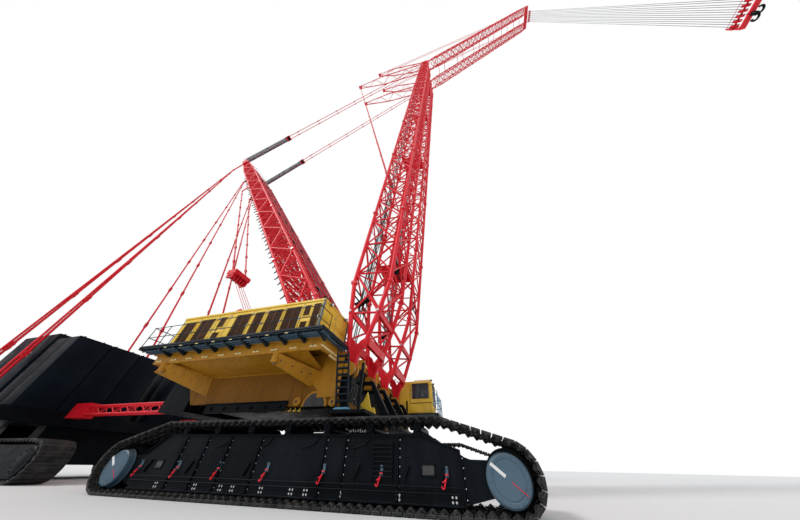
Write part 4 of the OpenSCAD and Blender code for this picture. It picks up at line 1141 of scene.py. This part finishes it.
def chord_joint(shape, pins, s, y, z, d):
    """Forked lugs and a pin where two lengths of a chord meet."""
    for way in SIDES:
        shape.rod((s + way * 22, y, z), (s + way * 13, y, z), d + 3, 16, d + 8)
    for k in (-0.62, -0.22, 0.22, 0.62):
        lug = y + k * d
        shape.box(s - 15, s + 15, lug - 2.4, lug + 2.4, z - d * 0.62, z + d * 0.62, 1.0)
    pins.pin((s, y - d * 0.95, z), (s, y + d * 0.95, z), d * 0.42, 1.35)


def lattice_joints():
    """Pinned joints between the lengths of booms, jibs and mast."""
    for body, place, marks, middles, w, h, d in JOINTS:
        shape, pins = shapes(2, place, body)
        for middle in middles:
            for s in marks:
                for a in SIDES:
                    for b in SIDES:
                        chord_joint(shape, pins, s, middle + a * w, b * h, d)
        shape.done(body + "_chord_joints", "red")
        pins.done(body + "_joint_pins", "bright")


def taper(full, low, high, t0, t1, length):
    """Gives a function for half the depth of a lattice along its length, as in the CAD."""
    def half(s):
        """Half the depth at this distance from the foot."""
        if s < t0:
            return (low + (full - low) * s / t0) / 2
        if s > length - t1:
            return (high + (full - high) * (length - s) / t1) / 2
        return full / 2
    return half


def tube_laces(shape, middle, w, deep, start, end, chord, flip, bays, tube, spreader):
    """Zigzag tubes in the four faces of a lattice; the thick set, flip 1, has flattened ends."""
    thick = flip > 0
    step = (end - start) / bays
    for i in range(bays):
        s = start + i * step
        u, v = s + 7, s + step - 7
        q = -flip if i % 2 else flip
        across = q * (w - chord / 4)
        for a in SIDES:
            side = ((u, middle + a * w, -q * (deep(u) - chord / 4)),
                    (v, middle + a * w, q * (deep(v) - chord / 4)))
            face = ((u, middle - across, a * deep(u)), (v, middle + across, a * deep(v)))
            for p0, p1 in (side, face):
                shape.rod(p0, p1, tube, 10 if thick else 8)
                if not thick:
                    continue
                p0, p1 = Vector(p0), Vector(p1)
                way = (p1 - p0).normalized() * chord
                for near, far in ((p0, way), (p1, -way)):
                    shape.rod(near + far * 0.55, near + far * 0.95, tube * 1.16, 10, tube * 1.02)
        if i == 0:
            continue
        h = deep(s)
        y0, y1 = middle - w, middle + w
        if not thick:
            for a in SIDES:
                shape.rod((s, middle + a * w, -h), (s, middle + a * w, h), tube, 8)
                shape.rod((s, y0, a * h), (s, y1, a * h), tube, 8)
        if spreader:
            for a in SIDES:
                shape.rod((s, y0 + chord / 3, a * h), (s, y1 - chord / 3, a * h), spreader, 8)
            if i % 2:
                for a in SIDES:
                    shape.rod((s, y0, a * h), (s, y1, -a * h), spreader * 0.8, 8)


def lattice_tubes():
    """Two sets of lacing tubes over the plain lacing of booms, jibs and mast."""
    for body, place, middles, w, depths, start, end, chord, thick, thin in LATTICES:
        shape = Shape(place, body)
        deep = taper(*depths, end)
        for middle in middles:
            tube_laces(shape, middle, w, deep, start, end, chord, 1, *thick)
            tube_laces(shape, middle, w, deep, start, end, chord, -1, *thin)
        if body == "mast":
            # second diagonals, so that its wide faces are crossed
            bays = thick[0]
            step = (end - start) / bays
            for i in range(bays):
                u, v = start + i * step + 9, start + (i + 1) * step - 9
                y = (w - 7) * (1 if i % 2 else -1)
                for b in SIDES:
                    shape.rod((u, -y, b * deep(u)), (v, y, b * deep(v)), 13, 10)
        shape.done(body + "_lacing_tubes", "red")


def boom_gussets(plates, pins):
    """Gussets with ribs, pin bosses, thick chords, collars and braces at the feet of the booms."""
    for y in (c + s * BOOM_W / 2 for c in BOTH_BOOMS for s in SIDES):
        plates.plate([(-14, -20), (-20, 0), (-14, 20), (60, 26), (150, 62), (176, 58), (150, 20),
                      (120, 0), (150, -20), (176, -58), (150, -62), (60, -26)], y - 7, y + 7, 1.6)
        for side in SIDES:
            for b in SIDES:
                rib = ((-12, 18), (60, 25), (150, 60), (172, 58), (60, 12), (-12, 8))
                plates.plate([(x, b * z) for x, z in rib], *sorted((y + side * 7, y + side * 12)), 1.2)
            pins.turned([(0.01, 19), (9, 19), (10.5, 17.5), (22, 17), (24, 15), (24, 7)],
                        0, 0, 32, side, y)
            pins.bolt_ring(6, 18, 0, 0, y + side * 16.6, side, 3.4, 2.2)
        for b in SIDES:
            plates.rod((110, y, b * 42), (336, y, b * 91), 28, 18)
            plates.rod((316, y, b * 87), (332, y, b * 90.5), 33, 18)
            pins.pin((330, y - 22, b * 90), (330, y + 22, b * 90), 11, 1.4)
        plates.rod((176, y, -56), (322, y, 78), 13, 12)
        plates.rod((322, y, -84), (322, y, 84), 13, 12)


def boom_cross_beams(beams):
    """Flanged box beams with corner plates, and diagonals, across the feet of the booms."""
    for c in BOTH_BOOMS:
        y0, y1 = c - BOOM_W / 2 + 7, c + BOOM_W / 2 - 7
        for x, z, w in ((150, 58, 20), (150, -58, 20), (324, 86, 12), (324, -86, 12)):
            beams.box(x - w, x + w, y0, y1, z - 9, z + 9, 2.0)
            for rim in (z - 9, z + 9):
                beams.box(x - w - 2.5, x + w + 2.5, y0 + 4, y1 - 4, rim - 1.2, rim + 1.2, 0.6)
            corner = z + (-30 if z > 0 else 30)
            for y in (y0 + 12, y1 - 12):
                beams.plate([(x - w, z), (x + w + 14, z), (x - w, corner)], y - 2, y + 2, 0.6)
        for b in SIDES:
            beams.rod((160, y0, b * 54), (320, y1, b * 84), 13, 12)


def boom_rope_guides(guides):
    """Grooved rollers between cheeks on their cross bars, near the feet of the booms."""
    for c in BOTH_BOOMS:
        for x, z, dy in ((420, 96, -70), (470, 100, -20), (520, 104, 40), (700, -104, -40), (760, -104, 30)):
            y = c + dy
            guides.turned([(7, -13), (18, -12), (20, -9), (15, -5), (15, 5), (20, 9), (18, 12), (7, 13)],
                          x, z, 28, face=y)
            guides.rod((x, y - 19, z), (x, y + 19, z), 9, 14)
            for cheek in (y - 16, y + 16):
                guides.box(x - 7, x + 7, cheek - 2, cheek + 2, *sorted((z, z * 1.25)), 0.8)
            guides.rod((x, c - BOOM_W / 2, z * 1.2), (x, c + BOOM_W / 2, z * 1.2), 10, 12)


def boom_foot_work():
    """Everything at the feet of both booms."""
    plates, beams, pins, guides = shapes(4, BOOM, "boom")
    boom_gussets(plates, pins)
    boom_cross_beams(beams)
    boom_rope_guides(guides)
    plates.done("boom_foot_gussets", "red", hides=("boom_feet",))
    beams.done("boom_cross_beams", "red")
    pins.done("boom_foot_pins", "steel")
    guides.done("boom_rope_guides", "black")


def boom_lines():
    """Cables that sag a little along the booms, and straight ropes on their backs."""
    cables, ropes = [], []
    for c in BOTH_BOOMS:
        for k in range(4):
            y, z = c - 62 + 34 * k, 96 + 3 * (k % 2)
            cables.append([BOOM @ Vector((s, y + 5 * math.sin(s / 160 + k), z + 5 * math.sin(s / 90 + 2 * k)))
                           for s in range(150, 1900, 110)])
        for y in (c - 34, c - 12, c + 12, c + 34):
            ropes.append([BOOM @ Vector((430, y, 112)), BOOM @ Vector((BOOM_L - 150, y, 118))])
    run_of("boom_cables", cables, 7, "hose", "boom")
    run_of("boom_back_ropes", ropes, 6.5, "rope", "boom", smooth=False)


def arm_walkways():
    """Rungs of the walkway with a thin life line on the rear face of the booms."""
    strips, rails = shapes(2, BOOM, "boom")
    for c in BOTH_BOOMS:
        y = c - 60
        for s in range(1000, 9001, 500):
            rails.rod((s, y, 131), (s, y, 160), 3.2, 8)
        rails.rod((1000, y, 160), (9000, y, 160), 3.2, 8)
        for s in range(980, 8946, 135):
            strips.box(s - 3, s + 3, c - BOOM_W / 2, c + BOOM_W / 2, 127, 130, 0.6)
    strips.done("boom_walkway_rungs", "red")
    rails.done("boom_life_lines", "steel")


def mast_head(ribs, pins):
    """Stiffeners round the mast's head box, and the bolts on its ends."""
    end = MAST_W / 2 + 40
    for y in (-290, -170, -60, 60, 170, 290):
        for low, high in ((-64, -58), (58, 66)):
            ribs.box(MAST_L - 102, MAST_L + 32, y - 3, y + 3, low, high, 1.0)
    for s in SIDES:
        for x in (MAST_L - 101, MAST_L + 31):
            ribs.box(x - 4, x + 4, -end, end, *span(s, 54, 66), 1.4)
        ribs.box(MAST_L - 98, MAST_L + 28, *span(s, end, end * 1.01), -52, 52, 1.0)
        for x in range(MAST_L - 80, MAST_L + 21, 25):
            for z in (-40, 40):
                pins.bolt((x, s * end * 1.01, z), (0, s, 0), 6, 3.5)


def mast_feet(ribs, pins):
    """Pin bosses, side plates and chord collars at the mast's feet."""
    for s in SIDES:
        y = s * MAST_W / 2
        for side in SIDES:
            pins.turned([(0.01, 13.5), (9, 13.5), (11, 12.6), (20, 12.2)], 0, 0, 28, side, y)
        ribs.plate([(40, -22), (182, -46), (182, 46), (40, 22)],
                   *sorted((y + s * 10, y + s * 12.5)), 1.0)
        for z in (-54, 54):
            ribs.box(168, 200, y - 15, y + 15, z - 15, z + 15, 2.0)


def mast_rollers(rollers):
    """Rope rollers in front of the mast on their cross bars, and pegs on its rear chords."""
    half, low = MAST_W / 2, -MAST_H / 2
    for x in range(700, 4301, 900):
        z = low - 9
        for y in (-150, 0, 150):
            rollers.turned([(4, -22), (9, -22), (8, -16), (7, 0), (8, 16), (9, 22), (4, 22)],
                           x, z, 20, face=y)
            for cheek in (y - 26, y + 26):
                rollers.box(x - 6, x + 6, cheek - 2, cheek + 2, z - 9, z + 12, 0.8)
        rollers.box(x - 8, x + 8, -half, half, low - 1, low + 8, 1.0)
    for y in (-half, half):
        for k in range(41):
            x, z = 700 + 92 * k, MAST_H / 2 + 8
            reach = 26 if k % 3 else 40
            rollers.rod((x, y, z), (x - 8, y * 1.02, z + 6 + reach), 13, 10, 8)
            rollers.rod((x, y - 12, z + 4), (x, y + 12, z + 4), 9, 12)


def mast_work():
    """Head and feet of the mast, its rollers, and the ropes in front of it."""
    ribs, rollers, pins = shapes(3, MAST, "mast")
    mast_head(ribs, pins)
    mast_feet(ribs, pins)
    mast_rollers(rollers)
    ribs.done("mast_head_ribs", "red")
    rollers.done("mast_rope_rollers", "black")
    pins.done("mast_pins_and_bolts", "steel")
    z = -MAST_H / 2 - 19
    lines = [[MAST @ Vector((420, y, z)), MAST @ Vector((MAST_L - 110, y, z))]
             for y in (-156, -148, -6, 4, 144, 152)]
    run_of("mast_front_ropes", lines, 6, "rope", "mast", smooth=False)


def thick_bar(shape, pins, a, b, d, step, w=8.0, first=260.0):
    """A round bar with forged link joints along it."""
    way = (b - a).normalized()
    shape.rod(a + way * 14, b - way * 14, d, 14)
    turn = way.to_track_quat("X", "Z").to_matrix().to_4x4()
    at = first
    while at < (b - a).length - 120:
        place = Matrix.Translation(a + way * at) @ turn
        for s in SIDES:
            shape.box(-24, 24, s * w - 2.4, s * w + 2.4, -d * 0.72, d * 0.72, 1.6, local=place)
            shape.rod((s * 27 - 7, 0, 0), (s * 27 + 7, 0, 0), d * 1.25, 14, local=place)
            pins.pin((s * 14, -w - 5, 0), (s * 14, w + 5, 0), 8, 1.4, local=place)
        at += step


def bar_set(bars_name, pins_name, body, bars, *sizes):
    """Thick bars from one point to another, with their first link at its own distance."""
    shape, pins = shapes(2, body=body)
    for a, b, first in bars:
        thick_bar(shape, pins, a, b, *sizes, first)
    shape.done(bars_name, "red")
    pins.done(pins_name, "steel")


def stay_links():
    """Rope bundles, yokes and linked bars of the stays between mast head and boom head."""
    shape, pins, ropes, yoke = shapes(4, body="boom")
    gap, r = BOOM @ Vector((BOOM_L - 112, 0, 123)) - MAST_HEAD, 60.5
    t = math.atan2(gap.z, gap.x) + math.asin(r / gap.length)
    way, lift = Vector((math.cos(t), 0, math.sin(t))), Vector((-math.sin(t), 0, math.cos(t)))
    start, length = MAST_HEAD + lift * r, math.sqrt(gap.length ** 2 - r * r)
    mid = start + way * 1150
    for s in SIDES:
        side = Vector((0, s * STAY_Y, 0))
        for k in range(9):
            off = Vector((0, -44 + 11 * k, 0)) + side
            ropes.rod(start + off + way * 6, mid + off, 8.4, 10)
            if k % 2:
                ropes.rod(start + off + way * 40 - lift * 13, mid + off - lift * 13, 8.4, 10)
        place = Matrix.Translation(mid + side) @ Matrix.Rotation(-t, 4, "Y")
        yoke.box(6, 72, -50, 50, -28, 28, 2.0, local=place)
        for x in (-14, 66):
            shape.box(x, x + 16, -55, 55, -32, 32, 2.0, local=place)
        for y in (-30, 30):
            shape.box(70, 104, y - 8, y + 8, -20, 20, 2.0, local=place)
            off = Vector((0, y, 0)) + side
            thick_bar(shape, pins, mid + way * 76 + off, start + way * (length - 6) + off, 14, 640)
        for x in (22, 40, 58):
            for y in (-36, 0, 36):
                pins.bolt((x, y, 28), (0, 0, 1), 7, 4, local=place)
    shape.done("stay_links", "red")
    pins.done("stay_link_pins", "steel")
    yoke.done("stay_yokes", "black")
    ropes.done("stay_rope_bundles", "rope")


def pendant_bars():
    """Linked bars over the ballast pendants, the luffing gear and the strut pendants."""
    rear, bars = MAST @ Vector((5455, 0, 300)), []
    for y in (-1, 0, 1):
        for k, x in enumerate(PENDANT_XS):
            top = Vector((rear.x + 11 - 22 * k, y * STAY_Y, rear.z + 3.2 - 6.4 * k))
            bars.append((Vector((x, y * 700, PENDANT_FOOT_Z)), top, 300 + 90 * k))
    bar_set("ballast_pendant_bars", "ballast_pendant_pins", "superstructure", bars, 17, 520, 9)
    bars = [(Vector((LUFFING_X, y, LUFFING_EYE_Z)), MAST @ Vector((4520, y, 330)), 220) for y in (-96, 96)]
    bar_set("luffing_bars", "luffing_bar_pins", "superstructure", bars, 17, 330, 9)
    low, top = BOOM @ Vector((2060, 0, 147)), BOOM @ Vector((9660, 0, 2450))
    top -= (top - low).normalized() * 46
    offs = [Vector((0, c + k, 0)) for c in BOTH_BOOMS for k in (-36, 36)]
    bars = [(low + off, top + off, 260) for off in offs]
    bar_set("strut_pendant_bars", "strut_pendant_pins", "boom", bars, 15, 600, 8)


# Cab, gantry, winches, ballast, carrier and hook

CAB_PLACE, CAB_X, CAB_Y, CAB_Z = moved(120, 436, 385), 270, 160, 220
GANTRY_X, GANTRY_Z = -1190, 1060
WINCH_XS, WINCH_Z = (-420, -620, -820), DECK + 76
BALLAST_FLOOR, SLAB_H = 318, 46
HOOK_PLACE = moved(6353.191, 0, 15917.331 - 9900)


def cab_shell():
    """Rounded cab body with its windows cut out."""
    x1, y1, z1 = CAB_X, CAB_Y, CAB_Z
    shape, cut = shapes(2, CAB_PLACE)
    shape.box(0.4, x1 - 0.4, 0.4, y1 - 0.4, 0.3, z1 - 0.4, 13, 5)
    cabin = shape.done("cab_shell", "yellow", hides=("cab_body",))
    # the room inside, side windows, windscreen, door opening, rear window and foot window
    cut.box(7, x1 - 7, 7, y1 - 7, 7, z1 - 7, 9, 3)
    cut.box(110, x1 - 26, -6, y1 + 6, 96, z1 - 18, 7, 3)
    cut.box(x1 - 12, x1 + 6, 14, y1 - 14, 50, z1 - 18, 7, 3)
    cut.box(20, 96, y1 - 10, y1 + 6, 12, z1 - 18, 5, 3)
    cut.box(-6, 10, 30, y1 - 30, 110, z1 - 24, 6, 3)
    cut.box(x1 - 12, x1 + 6, 24, 70, 14, 38, 5, 3)
    bmesh.ops.transform(cut.bm, matrix=TO_METRES, verts=cut.bm.verts)
    bmesh.ops.recalc_face_normals(cut.bm, faces=cut.bm.faces)
    cut.bm.to_mesh(cut.carry)
    cut.bm.free()
    tool = put_in_scene("cab_cuts", cut.carry)
    mod = cabin.modifiers.new("cut", "BOOLEAN")
    mod.operation = "DIFFERENCE"
    mod.solver = "EXACT"
    mod.use_self = True
    mod.object = tool
    made = bpy.data.meshes.new_from_object(cabin.evaluated_get(bpy.context.evaluated_depsgraph_get()))
    cabin.modifiers.clear()
    plain, cabin.data = cabin.data, made
    made.shade_smooth()
    made.set_sharp_from_angle(angle=SHARP)
    bpy.data.objects.remove(tool)
    for mesh in (plain, cut.carry):
        bpy.data.meshes.remove(mesh)


def cab_windows():
    """Rubber seals round the windows."""
    x1, y1, z1 = CAB_X, CAB_Y, CAB_Z
    rubber = Shape(CAB_PLACE)
    low, high = 99, z1 - 21
    seals = [[(x, y, z) for x, z in ((113, low), (x1 - 29, low), (x1 - 29, high), (113, high))]
             for y in (0, y1)]
    seals.append([(x1, y, z) for y, z in ((17, 53), (y1 - 17, 53), (y1 - 17, high), (17, high))])
    for corners in seals:
        rubber.path(corners + corners[:1], 4, 10)
    for y in (0, y1):
        rubber.rod((178, y, low), (178, y, high), 4, 10)
    rubber.done("cab_window_rubbers", "hose", slot="seat_plastic")


def cab_roof_guard():
    """Bars over the roof window."""
    x1, y1, z1 = CAB_X, CAB_Y, CAB_Z
    guard = Shape(CAB_PLACE)
    for y in range(20, y1 - 12, 15):
        guard.rod((130, y, z1 + 8), (x1 - 12, y, z1 + 8), 3.2, 8)
    for x in (130, 190, x1 - 12):
        guard.rod((x, 16, z1 + 6), (x, y1 - 16, z1 + 6), 4.4, 10)
        for y in (22, y1 - 22):
            guard.rod((x, y, z1 - 2), (x, y, z1 + 7), 5, 10)
    guard.done("cab_roof_guard", "yellow")


def cab_mirrors(black, lens):
    """Mirrors on their arms, and a lamp beside each."""
    x1, z1 = CAB_X, CAB_Z
    for face, s in ((0, -1), (CAB_Y, 1)):
        out, lamp = face + s * 26, face - s * 24
        black.path([(x1 - 16, face, z1 - 34), (x1 + 14, out, z1 - 36), (x1 + 14, out, z1 - 74)], 3, 8)
        black.box(x1 + 10, x1 + 15, *sorted((face + s * 18, face + s * 38)), z1 - 76, z1 - 42, 1.8, 2)
        lens.box(x1 + 9.2, x1 + 10.2, *sorted((face + s * 20, face + s * 36)), z1 - 74, z1 - 44, 0.4)
        black.rod((x1 - 14, lamp, z1 + 2), (x1 + 2, lamp, z1 + 4), 13, 20)
        lens.rod((x1 + 2, lamp, z1 + 4), (x1 + 3.6, lamp, z1 + 4.2), 12, 20)


def cab_fittings():
    """Wiper, mirrors and lamps, and the black base and trim of the cab."""
    x1, y1, z1 = CAB_X, CAB_Y, CAB_Z
    black, lens = shapes(2, CAB_PLACE)
    black.rod((x1 + 1, 60, 54), (x1 + 4, 70, 60), 5, 10)
    black.rod((x1 + 4, 70, 60), (x1 + 3, 88, 150), 2.4, 8)
    black.box(x1 + 1.4, x1 + 3.6, 84, 88, 96, 184, 0.5)
    cab_mirrors(black, lens)
    # base under the front, sloping brackets and trim on the outer side
    black.plate([(6, -0.2), (x1 - 2, -0.2), (x1 - 6, -11.4), (20, -11.4)], 8, y1 - 8, 1.2)
    for y in (26, y1 - 26):
        black.plate([(-60, -30), (0, -30), (x1 - 20, -13), (x1 - 20, -11.5), (-60, -11.5)], y - 4, y + 4, 0.8)
    black.box(96, x1 - 6, -1.2, 1, 66, 70, 0.5)
    black.box(96, 99, -1.0, 1, 70, z1 - 22, 0.4)
    black.done("cab_black_fittings", "black")
    lens.done("cab_lamp_lenses", "lens", slot="glass")


def cab_platform_rails():
    """Pale blue rails round the platform, over the plain ones."""
    rails = Shape()
    x0, x1, y0, y1, foot = 220, 426, 414, 642, 386
    for z in (442.5, 500):
        rails.rod((x1, y0, z), (x1, y1, z), 6, 12)
        rails.rod((x0, y1, z), (x1, y1, z), 6, 12)
        rails.rod((x1, y0, z), (x1 - 34, y0, z), 6, 12)
    for k in range(4):
        x, y = x0 + (x1 - x0) * k / 3, y0 + 76 * k
        rails.rod((x1, y, foot), (x1, y, 501), 6, 12)
        rails.rod((x, y1, foot), (x, y1, 501), 6, 12)
    rails.rod((x1, y0, 500), (x1, y0 + 76, 442), 5, 12)
    rails.box(70, 430, 644, 648, 373, 390, 0.8)
    rails.done("cab_platform_rails", "blue")


def cab_inside():
    """Console, levers, seat and screen in the cab."""
    inside = Shape(CAB_PLACE)
    inside.box(204, 246, 34, 128, 38, 46, 3, 2)
    for y in (28, 116):
        inside.box(176, 200, y, y + 16, 8, 62, 3, 2)
    for y in (36, 124):
        inside.rod((190, y, 60), (192, y, 80), 3, 8)
        inside.rod((192, y, 80), (192, y, 88), 7, 14, 6)
    inside.box(108, 174, 52, 108, 50, 64, 6, 3)
    inside.box(100, 116, 54, 106, 60, 128, 6, 3)
    inside.box(102, 116, 64, 96, 130, 152, 5, 3)
    inside.box(236, 240, 96, 130, 62, 92, 1.5, 2)
    inside.rod((236, 113, 44), (237, 113, 64), 4, 10)
    inside.done("cab_inside", "seat", hides=("cab_seat",))


def gantry_work():
    """Pins, collars and sheaves of the rear gantry and the luffing block."""
    red, sheaves, pins = shapes(3)
    for y in (-60, -20, 20, 60):
        for x, z, r in ((GANTRY_X, GANTRY_Z, 42), (LUFFING_X, LUFFING_Z, 38)):
            half = [(0.01, 8), (r * 0.3, 9), (r * 0.34, 5), (r * 0.72, 4), (r * 0.78, 12.4), (r + 0.4, 12.4),
                    (r - 3.5, 2)]
            profile = [(a, -reach) for a, reach in half] + half[::-1]
            sheaves.turned(profile, x, z, 36, face=y)
    for s in SIDES:
        y = s * 174
        red.turned([(0.01, 6), (14, 6), (17, 3), (24, 2), (24, -2)], GANTRY_X, GANTRY_Z, 32, s, y)
        pins.bolt_ring(6, 20, GANTRY_X, GANTRY_Z, y + s * 2, s, 4.2, 2.6, 30)
    for s in SIDES:
        y = s * 106
        red.turned([(0.01, 5), (12, 5), (14, 3), (21, 1), (21, -2)], LUFFING_X, LUFFING_Z, 32, s, y)
        head = ((-54, 24), (54, 24), (34, -2), (-34, -2))
        red.plate([(LUFFING_X + x, LUFFING_Z + z) for x, z in head], *sorted((y - s * 2, y + s * 1.6)), 1.0)
    for x in (-955, -690):
        for y in (-240, 240):
            red.box(x - 34, x + 34, y - 14, y + 14, DECK - 0.2, DECK + 6, 1.5)
            for dx in (-27, 27):
                for dy in (-8, 8):
                    pins.bolt((x + dx, y + dy, DECK + 6), (0, 0, 1), 5, 3)
    for y in (-96, 96):
        pins.pin((LUFFING_X, y - 9, LUFFING_EYE_Z), (LUFFING_X, y + 9, LUFFING_EYE_Z), 14, 1.4)
    sheaves.done("gantry_sheaves", "black")
    red.done("gantry_bosses", "red")
    pins.done("gantry_pins", "steel")


def winch_work():
    """Rope layers, drum flanges, gear covers and bolts of the deck winches."""
    rope, flange, bolts = shapes(3)
    wound = [(46.2, -170)]
    for k in range(86):
        y = -168 + k * 3.95
        wound += [(46.2, y - 1.9), (48.4, y - 1.1), (49.2, y), (48.4, y + 1.1)]
    wound.append((46.2, 170))
    for x in WINCH_XS:
        rope.turned(wound, x, WINCH_Z, 30)
        for s in SIDES:
            flange.turned([(14, 189.4), (30, 189.4), (32, 188.4), (58, 188.4), (60, 190), (66.4, 190),
                           (66.8, 172), (64, 171.6), (50, 171.6)], x, WINCH_Z, 44, s)
            flange.turned([(0.01, 214), (26, 214), (30, 211), (34, 204.2)], x, WINCH_Z, 32, s)
            bolts.bolt_ring(10, 22, x, WINCH_Z, s * 214, s, 4.4, 2.6)
            bolts.bolt_ring(10, 58, x, WINCH_Z, s * 190, s, 4, 2.4)
            for foot in (x - 40, x + 40):
                bolts.bolt((foot, s * 200, DECK + 2), (0, 0, 1), 7, 4)
    rope.done("winch_rope_layers", "rope")
    flange.done("winch_flanges", "yellow")
    bolts.done("winch_bolts", "bright")


def ballast_work():
    """Smooth faces with upright joints, top lugs and tie bars of the ballast stacks."""
    lugs, ties, faces = shapes(3)
    low = BALLAST_FLOOR + 1
    for s in SIDES:
        for y0 in (70, 264, 458):
            y1 = y0 + 186
            for x0, x1, slabs in ((-2110, -1870, 9), (-2570, -2160, 10)):
                top = BALLAST_FLOOR + slabs * SLAB_H - 2
                middle = (x0 + x1) / 2
                # a cast face on each outer side, two sheets with an upright joint between them
                for a, b in ((x0 + 2, middle - 2), (middle + 2, x1 - 2)):
                    for reach in ((y0 + 2, y0 - 2.4), (y1 - 2, y1 + 2.4)):
                        faces.box(a, b, *span(s, *reach), low, top - 3, 2.0, 2)
                for reach in ((x0 - 2.4, x0 + 2), (x1 - 2, x1 + 2.4)):
                    faces.box(*reach, *span(s, y0 + 3, y1 - 3), low, top - 3, 2.0, 2)
                for x in (x0 + 46, x1 - 46):
                    for y in (s * (y0 + 36), s * (y1 - 36)):
                        lugs.rod((x, y, top), (x, y, top + 12), 12, 16)
                        lugs.rod((x - 9, y, top + 12), (x + 9, y, top + 12), 6, 12)
                ties.box(middle - 4, middle + 4, *span(s, y0 + 20, y1 - 20), top, top + 4, 1.0)
    lugs.done("ballast_lifting_lugs", "black", slot="ballast_iron")
    ties.done("ballast_tie_bars", "ballast")
    faces.done("ballast_cast_faces", "ballast")


def carrier_work():
    """Shoes and wheel covers of the ballast carrier, and feet of its pendants."""
    for name, y in (("right", -CARRIER_Y), ("left", CARRIER_Y)):
        track_chain("carrier_shoes_" + name, "carrier_tracks", "superstructure",
                    CARRIER_LOOP, CARRIER_X, y, CARRIER_SHOES, CARRIER_SHOE_W)
    feet, pins, wheels = shapes(3)
    wheel_x, wheel_z = CARRIER_LOOP[:2]
    low = BALLAST_FLOOR
    for y in (-720, 0, 720):
        for x in PENDANT_XS:
            for cheek in (y - 14, y + 14):
                feet.plate([(x - 22, low), (x + 22, low), (x + 6, low + 32), (x - 12, low + 32)],
                           cheek - 3, cheek + 3, 1.0)
            pins.pin((x - 4, y - 15, low + 20), (x - 4, y + 15, low + 20), 9, 1.4)
    for s in SIDES:
        for x in (CARRIER_X - wheel_x, CARRIER_X + wheel_x):
            wheels.turned([(0.01, 562), (30, 562), (34, 560), (56, 560), (60, 557), (60, 549)],
                          x, wheel_z, 40, s)
            wheels.bolt_ring(12, 46, x, wheel_z, s * 560, s, 4.6, 2.6)
    feet.done("pendant_feet", "black")
    pins.done("carrier_pins", "steel")
    wheels.done("carrier_wheel_covers", "black")


def hook_work():
    """Sheave faces, guards and bolts of the hook block; latches and forged neck of the hook."""
    red, wheel, bolts = shapes(3, HOOK_PLACE, "block")
    latch, neck = shapes(2, HOOK_PLACE, "hook")
    for s in SIDES:
        y = s * 200
        red.turned([(0.01, 4), (14, 4), (18, 2), (30, 1.5), (30, -1)], steps=32, side=s, face=y)
        bolts.bolt_ring(8, 24, 0, 0, y + s * 1.4, s, 4, 2.6)
        for x in (-52, 52):
            for z in (-50, 50):
                bolts.bolt((x, y, z), (0, s, 0), 6, 3.6)
    for y in range(-160, 161, 64):
        for x in (-64, 64):
            red.rod((x, y - 30, 52), (x, y + 30, 52), 7, 12)
        for s in SIDES:
            wheel.turned([(15, 0), (20, 2), (24, 0), (46, -2), (54.2, 0)],
                         steps=36, side=s, face=y + s * 14.2)
    red.done("hook_block_guards", "red")
    wheel.done("hook_block_sheaves", "black")
    bolts.done("hook_block_bolts", "bright")
    for s in SIDES:
        latch.rod((0, s * 16, -262), (0, s * 60, -232), 4, 12)
        latch.rod((-8, s * 16, -262), (8, s * 16, -262), 7, 12)
    latch.done("hook_latches", "steel")
    # neck between the lower collar and the two arms
    neck.rod((0, 0, -248), (0, 0, -264), 52, 32, 44)
    neck.rod((0, 0, -264), (0, 0, -284), 44, 32, 26)
    neck.done("hook_neck", "black")


look_up_camera()
studio_floor()
studio_light()
FINISH = make_finishes()
dress_nodes()

for build in (crane_tracks, end_covers, crawler_plate_work, roller_faces, louvre_banks, house_panels,
              house_posts, walkway_work, hull_work, hull_front, hull_lines, slew_ring, ladder_work,
              lattice_joints, lattice_tubes, boom_foot_work, boom_lines, arm_walkways, mast_work,
              stay_links, pendant_bars, cab_shell, cab_platform_rails, cab_windows, cab_roof_guard,
              cab_fittings, cab_inside, gantry_work, winch_work, ballast_work, carrier_work, hook_work):
    build()
